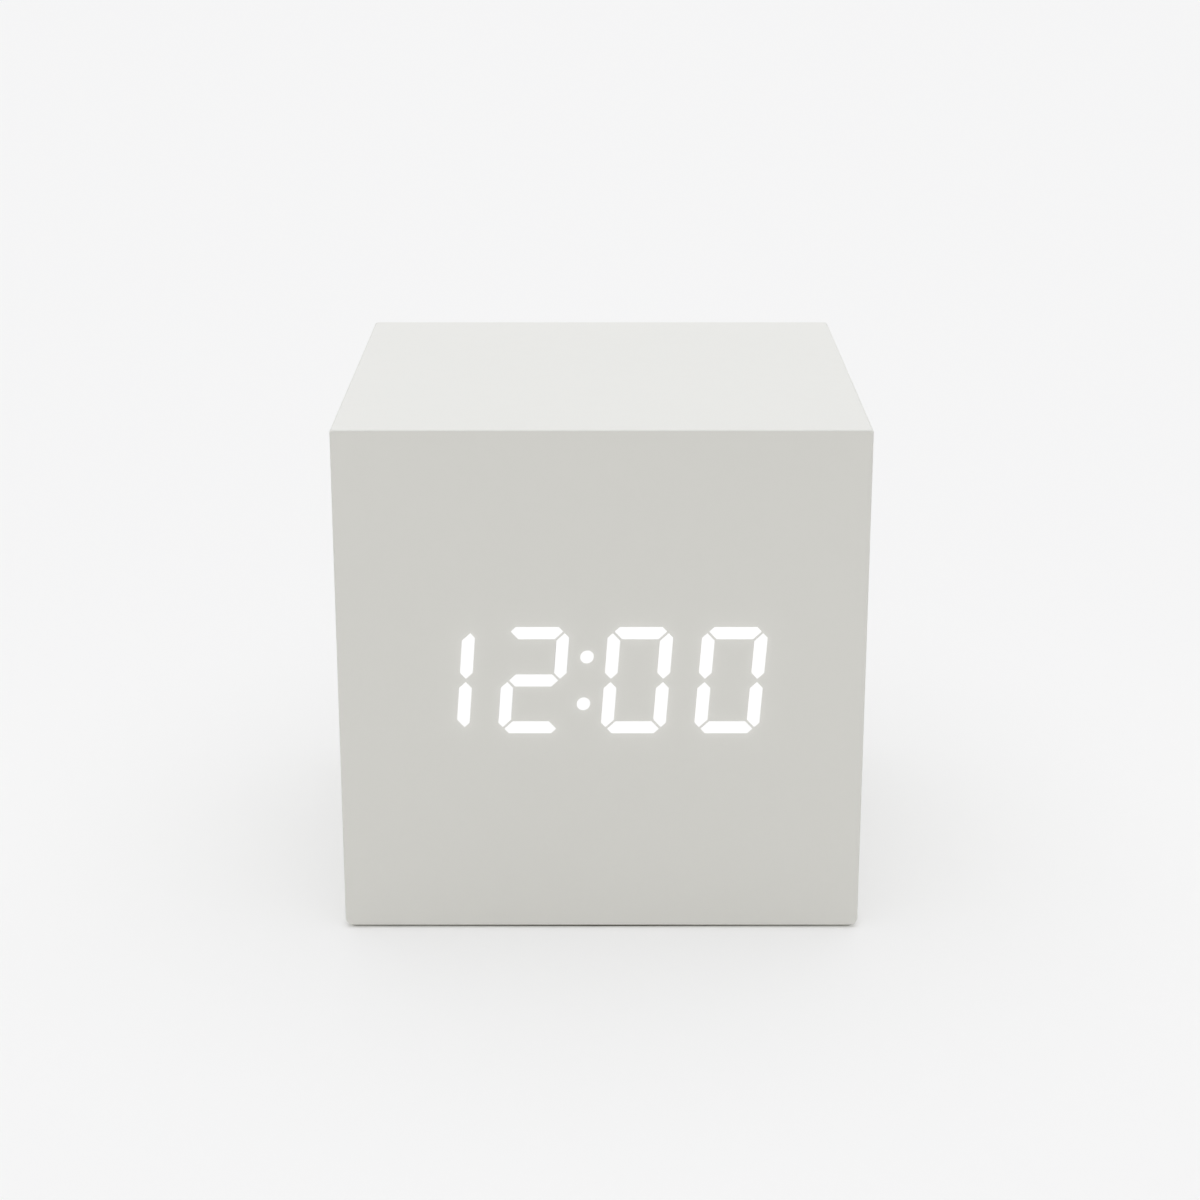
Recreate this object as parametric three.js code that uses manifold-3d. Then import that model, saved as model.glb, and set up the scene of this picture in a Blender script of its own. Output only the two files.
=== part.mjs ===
import * as THREE from 'three';
import { mergeVertices } from 'three/addons/utils/BufferGeometryUtils.js';
import Module from 'manifold-3d';

// Cube alarm clock, in millimetres. X runs to the right seen from the front, Y from front to
// back, Z up. The origin is on the table, under the middle of the case.

// Case walls and edges
const wallThickness = 6;
const frontWallThickness = 3;
const skinThickness = 0.8;
const edgeRadius = 0.35;
const topCornerSoftening = 0.05;
const bottomCornerRadius = 0.95;

// Feet
const footDiameter = 6;
const footProud = 0.3;
const footRecessDepth = 1.2;
const footEdgeRadius = 0.2;
const footSideInset = 7;
const footMargin = 1;

// Clearances
const seatGap = 0.2;
const slideGap = 0.2;
const screwGap = 0.15;
const windowGap = 0.03;
const cutOverrun = 1;
const weldDepth = 0.3;

// Digits, a slanted row of four with a colon between the middle two. The row stands a little left
// of the middle of the face and a little above it.
const displayX = -2.1;
const displayRise = 0.7;
const digitWidth = 8.35;
const digitHeight = 14.45;
const digitGap = 1.7;
const barStroke = 1.6;
const barGap = 0.36;
const digitCornerClip = 1.45;
const colonDotDiameter = 1.7;
const colonDotSpacing = 6.4;
const slantAngle = THREE.MathUtils.degToRad(4.2);
const timeShown = ['1', '2', '0', '0'];
const litBars = { 0: 'abcdef', 1: 'bc', 2: 'abdeg' };
const allBars = 'abcdefg';

// Light guides behind the skin
const guidePlateThickness = 1;
const guideSideMargin = 1.025;
const guideEndMargin = 1.65;
const colonPlateMargin = 0.3;
const colonPlateGap = 0.3;
const barRise = 0.8;
const unlitBarGap = 0.3;

// LED reflector and display board
const openingSideMargin = 0.45;
const openingEndMargin = 2.1;
const reflectorSideLap = 0.4;
const reflectorEndLap = 2;
const reflectorDepth = 6.8;
const displaySideGap = 0.4;
const cavityWall = 0.45;
const ledLength = 1.6;
const ledWidth = 0.8;
const ledHeight = 0.6;
const boardThickness = 1.6;

// Board screws
const boardScrewInset = 2.6;
const boardScrewDiameter = 1.8;
const boardScrewLength = 5;
const boardScrewHeadDiameter = 3.6;
const boardScrewHeadHeight = 1.2;

// Ribbon cable between the boards
const connectorWidth = 14;
const connectorHeight = 5;
const connectorDepth = 4.5;
const connectorSocketWall = 1;
const connectorSocketDepth = 3;
const connectorDrop = 6.8;
const ribbonWidth = 11;
const ribbonThickness = 0.9;
const ribbonSag = 4;

// Rear panel
const rearRecess = 1.7;
const panelThickness = 2;
const panelCornerRadius = 0.6;
const panelScrewDiameter = 2.3;
const panelScrewLength = 6.5;
const panelScrewHeadDiameter = 4.6;
const panelScrewHeadHeight = 1.4;
const panelCounterboreDepth = 0.8;
const cornerBlockSize = 7.2;
const cornerBlockLength = 5.8;
const cornerBlockChamfer = 2;

// Control board behind the rear panel
const controlBoardHeight = 32.5;
const controlBoardSideGap = 3;
const controlBoardGapAbove = 4.6;
const controlBoardGapBelow = 3.8;
const bossDiameter = 5;
const pegDiameter = 1.9;
const pegProud = 0.6;
const bossInset = 3.5;

// Buttons
const buttonNames = ['up', 'down', 'set'];
const buttonSpacing = 12;
const buttonDrop = 6;
const buttonDiameter = 5;
const buttonProud = 1;
const buttonEdgeRadius = 0.5;
const buttonDish = 0.25;
const buttonFlangeWidth = 0.9;
const buttonFlangeThickness = 1.3;
const buttonTravel = 0.5;
const switchSize = 6;
const switchHeight = 3.5;
const plungerDiameter = 3.4;
const plungerRise = 0.8;
const switchFloor = 0.7;

// Alarm slide switch
const alarmX = 13;
const alarmDrop = 20;
const alarmTravel = 3;
const alarmHousingHeight = 4.6;
const alarmHousingDepth = 4.4;
const alarmHousingWall = 0.7;
const knobWidth = 3;
const knobHeight = 2.3;
const knobFootOverhang = 0.6;
const knobFootDepth = 2.4;
const knobProud = 1.1;
const knobGrooveWidth = 0.35;
const knobGrooveDepth = 0.3;
const knobGrooves = 3;

// Power inlet
const inletX = -13;
const inletDrop = 20;
const inletWidth = 7.6;
const inletHeight = 2.8;
const inletTaper = 0.8;
const inletWall = 0.35;
const inletSetBack = 0.8;
const inletFloor = 1.2;
const inletTongueWidth = 4;
const inletTongueThickness = 0.7;
const inletTongueLength = 4.4;

// Buzzer and microphone
const buzzerDrop = 24.4;
const buzzerDiameter = 12;
const buzzerHeight = 5.2;
const buzzerPortDiameter = 2;
const buzzerPortDepth = 1;
const soundHoleDiameter = 1.4;
const soundHoleCircleDiameter = 6.4;
const soundHoles = 6;
const microphoneDrop = 13;
const microphoneDiameter = 6;
const microphoneHeight = 2.7;
const microphoneFeltDiameter = 4.6;
const microphoneFeltDepth = 0.4;

// Parts on the front of the control board
const chipX = -9;
const chipDrop = 10;
const chipHeight = 7.5;
const chipThickness = 2.3;
const chipLegs = 8;
const chipLegSpacing = 1.27;
const chipLegWidth = 0.4;
const chipLegReach = 1.4;
const chipLegThickness = 0.3;
const crystalX = 9;
const crystalDrop = 8;
const crystalLength = 11;
const crystalWidth = 4.6;
const crystalHeight = 3.5;

// Battery cells and tray
const cellDiameter = 10.5;
const cellLength = 44.5;
const cellCount = 4;
const cellGap = 0.4;
const cellNubDiameter = 3.8;
const cellNubLength = 0.8;
const cellEdgeRadius = 0.7;
const cellBaseDiameter = 8.4;
const cellBaseRecess = 0.15;
const cellClearance = 0.35;
const trayWall = 1.6;
const trayRoof = 1.5;
const trayFlangeWidth = 1.6;
const trayFlangeThickness = 1.5;
const trayRibWidth = 1.2;
const trayRibHeight = 2.2;
const trayRibSetBack = 4;
const traySideGap = 1.2;
const trayToBlockGap = 1.3;

// Battery contacts
const contactThickness = 0.4;
const contactWidth = 8;
const contactHeight = 8.5;
const contactDimpleDiameter = 3.6;
const contactDimpleHeight = 0.4;
const springLength = 3.9;
const springTurns = 3.5;
const springWireDiameter = 0.6;
const springBaseDiameter = 6.6;
const springTipDiameter = 3.8;
const terminalTabWidth = 3;
const terminalTabRise = 2.5;

// Battery door
const doorThickness = 1.8;
const doorTabWidth = 5;
const doorTabSpacing = 30;
const doorTabReach = 1;
const doorTabHeight = 0.7;
const tabSlotGap = 0.2;
const tabSwingRoom = 0.25;
const latchWidth = 12;
const latchSlotWidth = 0.8;
const latchSlotLength = 8;
const latchReach = 0.45;
const latchHeight = 0.6;
const latchRise = 0.75;
const latchNotchDepth = 0.8;
const latchGrooves = 4;
const latchGrooveSpacing = 1.4;
const latchGrooveWidth = 0.7;
const latchGrooveDepth = 0.4;

// Battery leads
const leadDiameter = 1.3;
const leadSpacing = 3;
const leadSideInset = 6;
const leadRise = 3.5;
const leadBow = 6;

// Facets round a full turn
const smallSides = 12;
const roundSides = 24;
const springSteps = 9;
const springSides = 6;
const leadSides = 8;
const leadSteps = 16;

// What the display needs
const guidePlateWidth = digitWidth + 2 * guideSideMargin;
const guidePlateHeight = digitHeight + 2 * guideEndMargin;
const colonPlateWidth = colonDotDiameter + 2 * colonPlateMargin;
const digitSpacing = guidePlateWidth + digitGap;
const colonSpacing = guidePlateWidth + colonPlateWidth + 2 * colonPlateGap;
const plateLean = guidePlateHeight / 2 * Math.tan(slantAngle);
const displayOpeningWidth = colonSpacing + 2 * digitSpacing + guidePlateWidth
  + 2 * (plateLean + openingSideMargin);
const displayOpeningHeight = guidePlateHeight + 2 * openingEndMargin;
const reflectorWidth = displayOpeningWidth + 2 * reflectorSideLap;
const reflectorHeight = displayOpeningHeight + 2 * reflectorEndLap;
const digitCentres = [
  -colonSpacing / 2 - digitSpacing, -colonSpacing / 2,
  colonSpacing / 2, colonSpacing / 2 + digitSpacing,
];

// What the cells need
const trayInnerHalfWidth = cellCount * (cellDiameter + cellGap) / 2;
const trayInnerHalfLength = (cellLength + springLength + 2 * contactThickness
  + contactDimpleHeight + 4 * seatGap) / 2;
const trayOuterHalfWidth = trayInnerHalfWidth + trayWall;
const trayOuterHalfLength = trayInnerHalfLength + trayWall;

// The case is a cube of about 68 mm, just large enough for what it holds in each direction: the
// display and the tray across it, the tray between the feet and the rear panel's blocks along
// it, and the control board between those blocks up it
const neededHalfWidth = wallThickness + Math.max(
  Math.abs(displayX) + reflectorWidth / 2 + displaySideGap, trayOuterHalfLength + traySideGap);
const footStrip = footDiameter + 2 * footMargin + trayFlangeWidth + 3 * seatGap;
const rearStack = rearRecess + panelThickness + seatGap + cornerBlockLength + trayToBlockGap;
const neededDepth = footStrip + 2 * trayOuterHalfWidth + rearStack;
const neededHeight = footProud + 2 * (wallThickness + seatGap + cornerBlockSize)
  + controlBoardGapBelow + controlBoardHeight + controlBoardGapAbove;
const cubeSize = Math.max(2 * neededHalfWidth, neededDepth, neededHeight);
const caseWidth = cubeSize;
const caseDepth = cubeSize;
const caseHeight = cubeSize - footProud;

// Planes that several pieces share
const caseFront = -caseDepth / 2;
const caseRear = caseDepth / 2;
const caseBottom = footProud;
const caseTop = caseBottom + caseHeight;
const cavityHalfWidth = caseWidth / 2 - wallThickness;
const cavityBottom = caseBottom + wallThickness;
const cavityTop = caseTop - wallThickness;
const cavityFront = caseFront + skinThickness + frontWallThickness;
const skinBack = caseFront + skinThickness;
const displayZ = (caseBottom + caseTop) / 2 + displayRise;
const connectorZ = displayZ - connectorDrop;
const guideFront = skinBack + barRise;
const guideBack = guideFront + guidePlateThickness;
const reflectorFront = guideBack + seatGap;
const reflectorBack = reflectorFront + reflectorDepth;
const displayBoardFront = reflectorBack + seatGap;
const displayBoardBack = displayBoardFront + boardThickness;
const panelOuter = caseRear - rearRecess;
const panelInner = panelOuter - panelThickness;
const buttonFlangeBack = panelInner - seatGap;
const plungerTop = buttonFlangeBack - buttonFlangeThickness;
const switchTop = plungerTop - plungerRise;
const plungerDepth = switchHeight - switchFloor - buttonTravel - slideGap;
const controlBoardBack = switchTop - switchHeight;
const controlBoardFront = controlBoardBack - boardThickness;
const controlBoardTop = cavityTop - seatGap - cornerBlockSize - controlBoardGapAbove;
const controlBoardBottom = controlBoardTop - controlBoardHeight;
const controlBoardHalfWidth = cavityHalfWidth - controlBoardSideGap;
const buttonZ = controlBoardTop - buttonDrop;
const alarmZ = controlBoardTop - alarmDrop;
const inletZ = controlBoardTop - inletDrop;
const buzzerZ = controlBoardTop - buzzerDrop;
const microphoneZ = controlBoardTop - microphoneDrop;
const chipZ = controlBoardTop - chipDrop;
const crystalZ = controlBoardTop - crystalDrop;
const trayY = caseRear - rearStack - trayOuterHalfWidth;
const cellZ = caseBottom + doorThickness + cellClearance + cellDiameter / 2;
const trayRoofInner = cellZ + cellDiameter / 2 + cellClearance;
const trayRoofOuter = trayRoofInner + trayRoof;
const doorTabRise = doorThickness - doorTabHeight;

// Materials
function finish(color, roughness, metalness = 0) {
  return new THREE.MeshStandardMaterial({ color, roughness, metalness });
}
const paint = finish(0xe6e5de, 0.55);
const whitePlastic = finish(0xf2f2f0, 0.45);
const blackPlastic = finish(0x1c1d1f, 0.5);
const panelPlastic = finish(0xd9d8d2, 0.5);
const buttonPlastic = finish(0xa9aaa8, 0.45);
const glowing = finish(0xffffff, 0.3);
const boardGreen = finish(0x1f5b38, 0.5);
const rubber = finish(0x2a2a2a, 0.9);
const steel = finish(0xb8bbbf, 0.35, 1);
const wood = finish(0xb89a72, 0.85);
const cellWrap = finish(0x2f6f5e, 0.4);
const redWire = finish(0xb3261e, 0.5);
const blackWire = finish(0x17181a, 0.5);
const greyWire = finish(0x9a9da1, 0.55);

const wasm = await Module();
wasm.setup();

// Booleans

function toSolid(geometry) {
  const bare = geometry.clone();
  bare.deleteAttribute('normal');
  bare.deleteAttribute('uv');
  const merged = mergeVertices(bare);
  const corners = merged.index.array;
  const kept = [];
  for (let i = 0; i < corners.length; i += 3) {
    const [a, b, c] = corners.slice(i, i + 3);
    if (a !== b && b !== c && c !== a) kept.push(a, b, c);
  }
  return new wasm.Manifold(new wasm.Mesh({
    numProp: 3,
    vertProperties: merged.attributes.position.array,
    triVerts: new Uint32Array(kept),
  }));
}

function toGeometry(solid) {
  const { vertProperties, triVerts } = solid.getMesh();
  const geometry = new THREE.BufferGeometry();
  geometry.setAttribute('position', new THREE.BufferAttribute(vertProperties, 3));
  geometry.setIndex(new THREE.BufferAttribute(triVerts, 1));
  geometry.computeVertexNormals();
  return geometry;
}

function carve(base, additions, cuts) {
  let solid = toSolid(base);
  for (const addition of additions) solid = solid.add(toSolid(addition));
  for (const cut of cuts) solid = solid.subtract(toSolid(cut));
  return toGeometry(solid);
}

function common(first, second) {
  return toGeometry(toSolid(first).intersect(toSolid(second)));
}

function piece(name, geometry, material, position = [0, 0, 0]) {
  const mesh = new THREE.Mesh(geometry, material);
  mesh.name = name;
  mesh.position.set(...position);
  return mesh;
}

function assembly(...pieces) {
  const group = new THREE.Group();
  group.add(...pieces);
  return group;
}

// Forms

function about(middle, size) {
  return [middle - size / 2, middle + size / 2];
}

function block(x, y, z) {
  const geometry = new THREE.BoxGeometry(x[1] - x[0], y[1] - y[0], z[1] - z[0]);
  return geometry.translate((x[0] + x[1]) / 2, (y[0] + y[1]) / 2, (z[0] + z[1]) / 2);
}

// A cylinder that lies along Y
function rod(diameter, x, z, y, sides = roundSides) {
  const geometry = new THREE.CylinderGeometry(diameter / 2, diameter / 2, y[1] - y[0], sides);
  return geometry.translate(x, (y[0] + y[1]) / 2, z);
}

// A solid of revolution about Y, from points of radius and height in rising order
function turned(points, sides = roundSides) {
  return new THREE.LatheGeometry(points.map(([r, y]) => new THREE.Vector2(r, y)), sides);
}

// An outline drawn in X and Z, as seen from the front, and extruded along Y
function extrudeBack(shape, y, curveSegments = 3) {
  const geometry = new THREE.ExtrudeGeometry(shape, {
    depth: y[1] - y[0], bevelEnabled: false, curveSegments,
  });
  return geometry.rotateX(Math.PI / 2).translate(0, y[1], 0);
}

function outline(points) {
  return new THREE.Shape(points.map(([x, z]) => new THREE.Vector2(x, z)));
}

function roundedRectangle(x, z, topRadius, bottomRadius = topRadius) {
  const shape = new THREE.Shape();
  shape.absarc(x[1] - topRadius, z[1] - topRadius, topRadius, 0, Math.PI / 2);
  shape.absarc(x[0] + topRadius, z[1] - topRadius, topRadius, Math.PI / 2, Math.PI);
  shape.absarc(x[0] + bottomRadius, z[0] + bottomRadius, bottomRadius, Math.PI, 1.5 * Math.PI);
  shape.absarc(x[1] - bottomRadius, z[0] + bottomRadius, bottomRadius, 1.5 * Math.PI, 2 * Math.PI);
  return shape;
}

// The four corners of a rectangle, left to right and bottom to top
function cornersOf(x, z) {
  return [[x[0], z[0]], [x[1], z[0]], [x[0], z[1]], [x[1], z[1]]];
}

// Digit bars
// Each is a bar of the stroke, mitred to its neighbours at 45 degrees with a gap, and clipped at
// the digit's outer corners. A positive growth widens the bars all round.

function barOutline(bar, growth = 0) {
  const stroke = barStroke + 2 * growth;
  const halfWidth = digitWidth / 2 + growth;
  const halfHeight = digitHeight / 2 + growth;
  const mitre = (barGap - 2 * growth) / Math.SQRT2;
  const clip = digitCornerClip + growth * (2 - Math.SQRT2);
  const near = (clip + mitre) / 2;
  const far = (clip - mitre) / 2;
  const top = [
    [-halfWidth + near, halfHeight - far], [-halfWidth + clip, halfHeight],
    [halfWidth - clip, halfHeight], [halfWidth - near, halfHeight - far],
    [halfWidth - stroke - mitre, halfHeight - stroke],
    [-halfWidth + stroke + mitre, halfHeight - stroke],
  ];
  const upperLeft = [
    [-halfWidth + far, halfHeight - near], [-halfWidth + stroke, halfHeight - stroke - mitre],
    [-halfWidth + stroke, stroke / 2 + mitre], [-halfWidth + stroke / 2, mitre],
    [-halfWidth, stroke / 2 + mitre], [-halfWidth, halfHeight - clip],
  ];
  const middle = [
    [-halfWidth + stroke / 2 + mitre, 0], [-halfWidth + stroke + mitre, stroke / 2],
    [halfWidth - stroke - mitre, stroke / 2], [halfWidth - stroke / 2 - mitre, 0],
    [halfWidth - stroke - mitre, -stroke / 2], [-halfWidth + stroke + mitre, -stroke / 2],
  ];
  const drawn = {
    a: [top, 1, 1], b: [upperLeft, -1, 1], c: [upperLeft, -1, -1], d: [top, 1, -1],
    e: [upperLeft, 1, -1], f: [upperLeft, 1, 1], g: [middle, 1, 1],
  };
  const [points, flipX, flipZ] = drawn[bar];
  return outline(points.map(([x, z]) => [x * flipX, z * flipZ]));
}

// Moves a piece of the display from the row's own middle to its place, leaning with the digits
function leaned(geometry, x = 0, z = 0) {
  const lean = new THREE.Matrix4().makeShear(0, 0, 0, 0, Math.tan(slantAngle), 0);
  return geometry.translate(x, 0, z).applyMatrix4(lean).translate(displayX, 0, displayZ);
}

function digitBar(index, bar, y, growth) {
  return leaned(extrudeBack(barOutline(bar, growth), y), digitCentres[index]);
}

function colonDot(side, y, growth = 0) {
  return leaned(rod(colonDotDiameter + 2 * growth, 0, 0, y), 0, side * colonDotSpacing / 2);
}

function isLit(index, bar) {
  return litBars[timeShown[index]].includes(bar);
}

// Case

function caseBlock() {
  const shape = roundedRectangle(about(0, caseWidth), [caseBottom, caseTop],
    edgeRadius + topCornerSoftening, bottomCornerRadius);
  const geometry = new THREE.ExtrudeGeometry(shape, {
    depth: caseDepth - 2 * edgeRadius,
    bevelThickness: edgeRadius,
    bevelSize: edgeRadius,
    bevelOffset: -edgeRadius,
    bevelSegments: 2,
    curveSegments: 2,
  });
  return geometry.rotateX(Math.PI / 2).translate(0, caseRear - edgeRadius, 0);
}

function frontSlab() {
  return block(about(0, caseWidth + 2 * cutOverrun), [caseFront - cutOverrun, skinBack],
    [caseBottom - cutOverrun, caseTop + cutOverrun]);
}

const footEndInset = footMargin + seatGap + footDiameter / 2;
const footPlaces = cornersOf(
  about(0, caseWidth - 2 * footSideInset), about(0, caseDepth - 2 * footEndInset));

function footRecess([x, y]) {
  const size = footDiameter + 2 * seatGap;
  const geometry = new THREE.CylinderGeometry(size / 2, size / 2, footRecessDepth + cutOverrun,
    roundSides);
  geometry.rotateX(Math.PI / 2);
  return geometry.translate(x, y, caseBottom + (footRecessDepth - cutOverrun) / 2);
}

function caseShell() {
  const cavity = block(about(0, 2 * cavityHalfWidth), [cavityFront, caseRear + cutOverrun],
    [cavityBottom, cavityTop]);
  const displayOpening = block(about(displayX, displayOpeningWidth),
    [skinBack - cutOverrun, cavityFront + cutOverrun], about(displayZ, displayOpeningHeight));
  const trayHole = trayBlock(trayWall + seatGap, [caseBottom - cutOverrun, cavityBottom + cutOverrun]);
  const trayRebate = trayBlock(trayWall + trayFlangeWidth + seatGap,
    [caseBottom - cutOverrun, caseBottom + trayFlangeThickness + seatGap]);
  return piece('case_shell', carve(caseBlock(), [],
    [frontSlab(), cavity, displayOpening, trayHole, trayRebate, ...footPlaces.map(footRecess)]), paint);
}

function frontSkin() {
  const through = [caseFront - cutOverrun, skinBack + cutOverrun];
  const windows = [-1, 1].map((side) => colonDot(side, through, windowGap));
  timeShown.forEach((figure, index) => {
    for (const bar of litBars[figure]) windows.push(digitBar(index, bar, through, windowGap));
  });
  return piece('front_skin', carve(common(caseBlock(), frontSlab()), [], windows), paint);
}

function foot(index) {
  const height = footRecessDepth - seatGap + footProud;
  const radius = footDiameter / 2;
  const profile = [[0, 0], [radius - footEdgeRadius, 0], [radius, footEdgeRadius],
    [radius, height], [0, height]];
  const [x, y] = footPlaces[index];
  const geometry = turned(profile).rotateX(Math.PI / 2);
  return piece(`foot_${index + 1}`, geometry, rubber, [x, y, 0]);
}

// Display

function digitLightGuide(index) {
  const plate = leaned(block(about(0, guidePlateWidth), [guideFront, guideBack],
    about(0, guidePlateHeight)), digitCentres[index]);
  const bars = [...allBars].map((bar) => {
    const front = isLit(index, bar) ? caseFront : skinBack + unlitBarGap;
    return digitBar(index, bar, [front, guideFront + weldDepth]);
  });
  return piece(`digit_${index + 1}_light_guide`, carve(plate, bars, []), glowing);
}

function colonLightGuide() {
  const plate = leaned(block(about(0, colonPlateWidth), [guideFront, guideBack],
    about(0, guidePlateHeight)));
  const dots = [-1, 1].map((side) => colonDot(side, [caseFront, guideFront + weldDepth]));
  return piece('colon_light_guide', carve(plate, dots, []), glowing);
}

const boardScrewPlaces = cornersOf(about(displayX, reflectorWidth - 2 * boardScrewInset),
  about(displayZ, reflectorHeight - 2 * boardScrewInset));

function ledReflector() {
  const growth = (barGap - cavityWall) / 2;
  const through = [reflectorFront - cutOverrun, reflectorBack + cutOverrun];
  const nose = block(about(displayX, displayOpeningWidth - 2 * seatGap),
    [reflectorFront, cavityFront + seatGap + weldDepth],
    about(displayZ, displayOpeningHeight - 2 * seatGap));
  const body = block(about(displayX, reflectorWidth), [cavityFront + seatGap, reflectorBack],
    about(displayZ, reflectorHeight));
  const cuts = [-1, 1].map((side) => colonDot(side, through, seatGap));
  for (let index = 0; index < timeShown.length; index += 1) {
    for (const bar of allBars) cuts.push(digitBar(index, bar, through, growth));
  }
  for (const [x, z] of boardScrewPlaces) {
    const depth = [reflectorBack - boardScrewLength, reflectorBack + cutOverrun];
    cuts.push(rod(boardScrewDiameter + 2 * screwGap, x, z, depth, smallSides));
  }
  return piece('led_reflector', carve(body, [nose], cuts), whitePlastic);
}

// The middle of a bar, and whether it stands upright
function barPlace(bar) {
  const sideX = (digitWidth - barStroke) / 2;
  const endZ = (digitHeight - barStroke) / 2;
  return {
    a: [0, endZ, false], b: [sideX, endZ / 2, true], c: [sideX, -endZ / 2, true],
    d: [0, -endZ, false], e: [-sideX, -endZ / 2, true], f: [-sideX, endZ / 2, true],
    g: [0, 0, false],
  }[bar];
}

function displayBoard() {
  const ledY = [displayBoardFront - ledHeight, displayBoardFront + weldDepth];
  const led = (x, z, upright) => leaned(block(
    about(0, upright ? ledWidth : ledLength), ledY, about(0, upright ? ledLength : ledWidth)), x, z);
  const leds = [-1, 1].map((side) => led(0, side * colonDotSpacing / 2, true));
  for (const centre of digitCentres) {
    for (const bar of allBars) {
      const [x, z, upright] = barPlace(bar);
      leds.push(led(centre + x, z, upright));
    }
  }
  const board = block(about(displayX, reflectorWidth), [displayBoardFront, displayBoardBack],
    about(displayZ, reflectorHeight));
  const holes = boardScrewPlaces.map(([x, z]) => rod(boardScrewDiameter + 2 * seatGap, x, z,
    [displayBoardFront - cutOverrun, displayBoardBack + cutOverrun], smallSides));
  return piece('display_board', carve(board, leds, holes), boardGreen);
}

// A pan-head screw that points to the front, with the underside of its head at Y zero
function screwGeometry(diameter, length, headDiameter, headHeight) {
  const tip = diameter / 3;
  return turned([[0, -length], [diameter / 2 - tip / 2, -length], [diameter / 2, tip - length],
    [diameter / 2, 0], [headDiameter / 2, 0], [headDiameter / 2, headHeight / 2],
    [headDiameter / 3, headHeight], [0, headHeight]], smallSides);
}

function boardScrew(index) {
  const geometry = screwGeometry(boardScrewDiameter, boardScrewLength, boardScrewHeadDiameter,
    boardScrewHeadHeight);
  const [x, z] = boardScrewPlaces[index];
  return piece(`display_board_screw_${index + 1}`, geometry, steel, [x, displayBoardBack + seatGap, z]);
}

// A ribbon socket whose base is on a board and whose mouth faces the other board
function ribbonSocket(name, base, direction) {
  const ordered = (from, to) => (from < to ? [from, to] : [to, from]);
  const mouth = base + direction * connectorDepth;
  const body = block(about(0, connectorWidth), ordered(base, mouth), about(connectorZ, connectorHeight));
  const socket = block(about(0, connectorWidth - 2 * connectorSocketWall),
    ordered(mouth - direction * connectorSocketDepth, mouth + direction * cutOverrun),
    about(connectorZ, connectorHeight - 2 * connectorSocketWall));
  return piece(name, carve(body, [], [socket]), whitePlastic);
}

function displayRibbon() {
  const start = displayBoardBack + connectorDepth - connectorSocketDepth + seatGap;
  const end = controlBoardFront - connectorDepth + connectorSocketDepth - seatGap;
  const straight = connectorSocketDepth + ribbonThickness;
  const side = new THREE.CatmullRomCurve3([
    new THREE.Vector3(0, start, connectorZ),
    new THREE.Vector3(0, start + straight, connectorZ),
    new THREE.Vector3(0, (start + end) / 2, connectorZ - ribbonSag),
    new THREE.Vector3(0, end - straight, connectorZ),
    new THREE.Vector3(0, end, connectorZ),
  ]).getPoints(leadSteps);
  const upper = side.map((point) => [point.y, point.z + ribbonThickness / 2]);
  const lower = side.map((point) => [point.y, point.z - ribbonThickness / 2]).reverse();
  const geometry = new THREE.ExtrudeGeometry(outline([...lower, ...upper]), {
    depth: ribbonWidth, bevelEnabled: false,
  });
  geometry.rotateX(Math.PI / 2).rotateZ(Math.PI / 2).translate(-ribbonWidth / 2, 0, 0);
  return piece('display_ribbon', geometry, greyWire);
}

// Controls

const panelHalfWidth = cavityHalfWidth - seatGap;
const panelZ = [cavityBottom + seatGap, cavityTop - seatGap];
const panelScrewInset = cornerBlockSize / 2;
const panelScrewPlaces = cornersOf(about(0, 2 * (panelHalfWidth - panelScrewInset)),
  [panelZ[0] + panelScrewInset, panelZ[1] - panelScrewInset]);
const bossPlaces = cornersOf(about(0, 2 * (controlBoardHalfWidth - bossInset)),
  [controlBoardBottom + bossInset, controlBoardTop - bossInset]);
const buttonPlaces = [-1, 0, 1].map((step) => step * buttonSpacing);

function soundHolePlaces() {
  const places = [[0, buzzerZ]];
  for (let hole = 0; hole < soundHoles; hole += 1) {
    const angle = hole / soundHoles * 2 * Math.PI;
    places.push([Math.cos(angle) * soundHoleCircleDiameter / 2,
      buzzerZ + Math.sin(angle) * soundHoleCircleDiameter / 2]);
  }
  return places;
}

// The inlet's outline: flat on top, with its lower corners drawn in
function inletOutline(growth = 0) {
  const halfWidth = inletWidth / 2 + growth;
  const top = inletZ + inletHeight / 2 + growth;
  const bottom = inletZ - inletHeight / 2 - growth;
  return outline([[inletX - halfWidth + inletTaper, bottom], [inletX + halfWidth - inletTaper, bottom],
    [inletX + halfWidth, bottom + inletTaper], [inletX + halfWidth, top],
    [inletX - halfWidth, top], [inletX - halfWidth, bottom + inletTaper]]);
}

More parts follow.
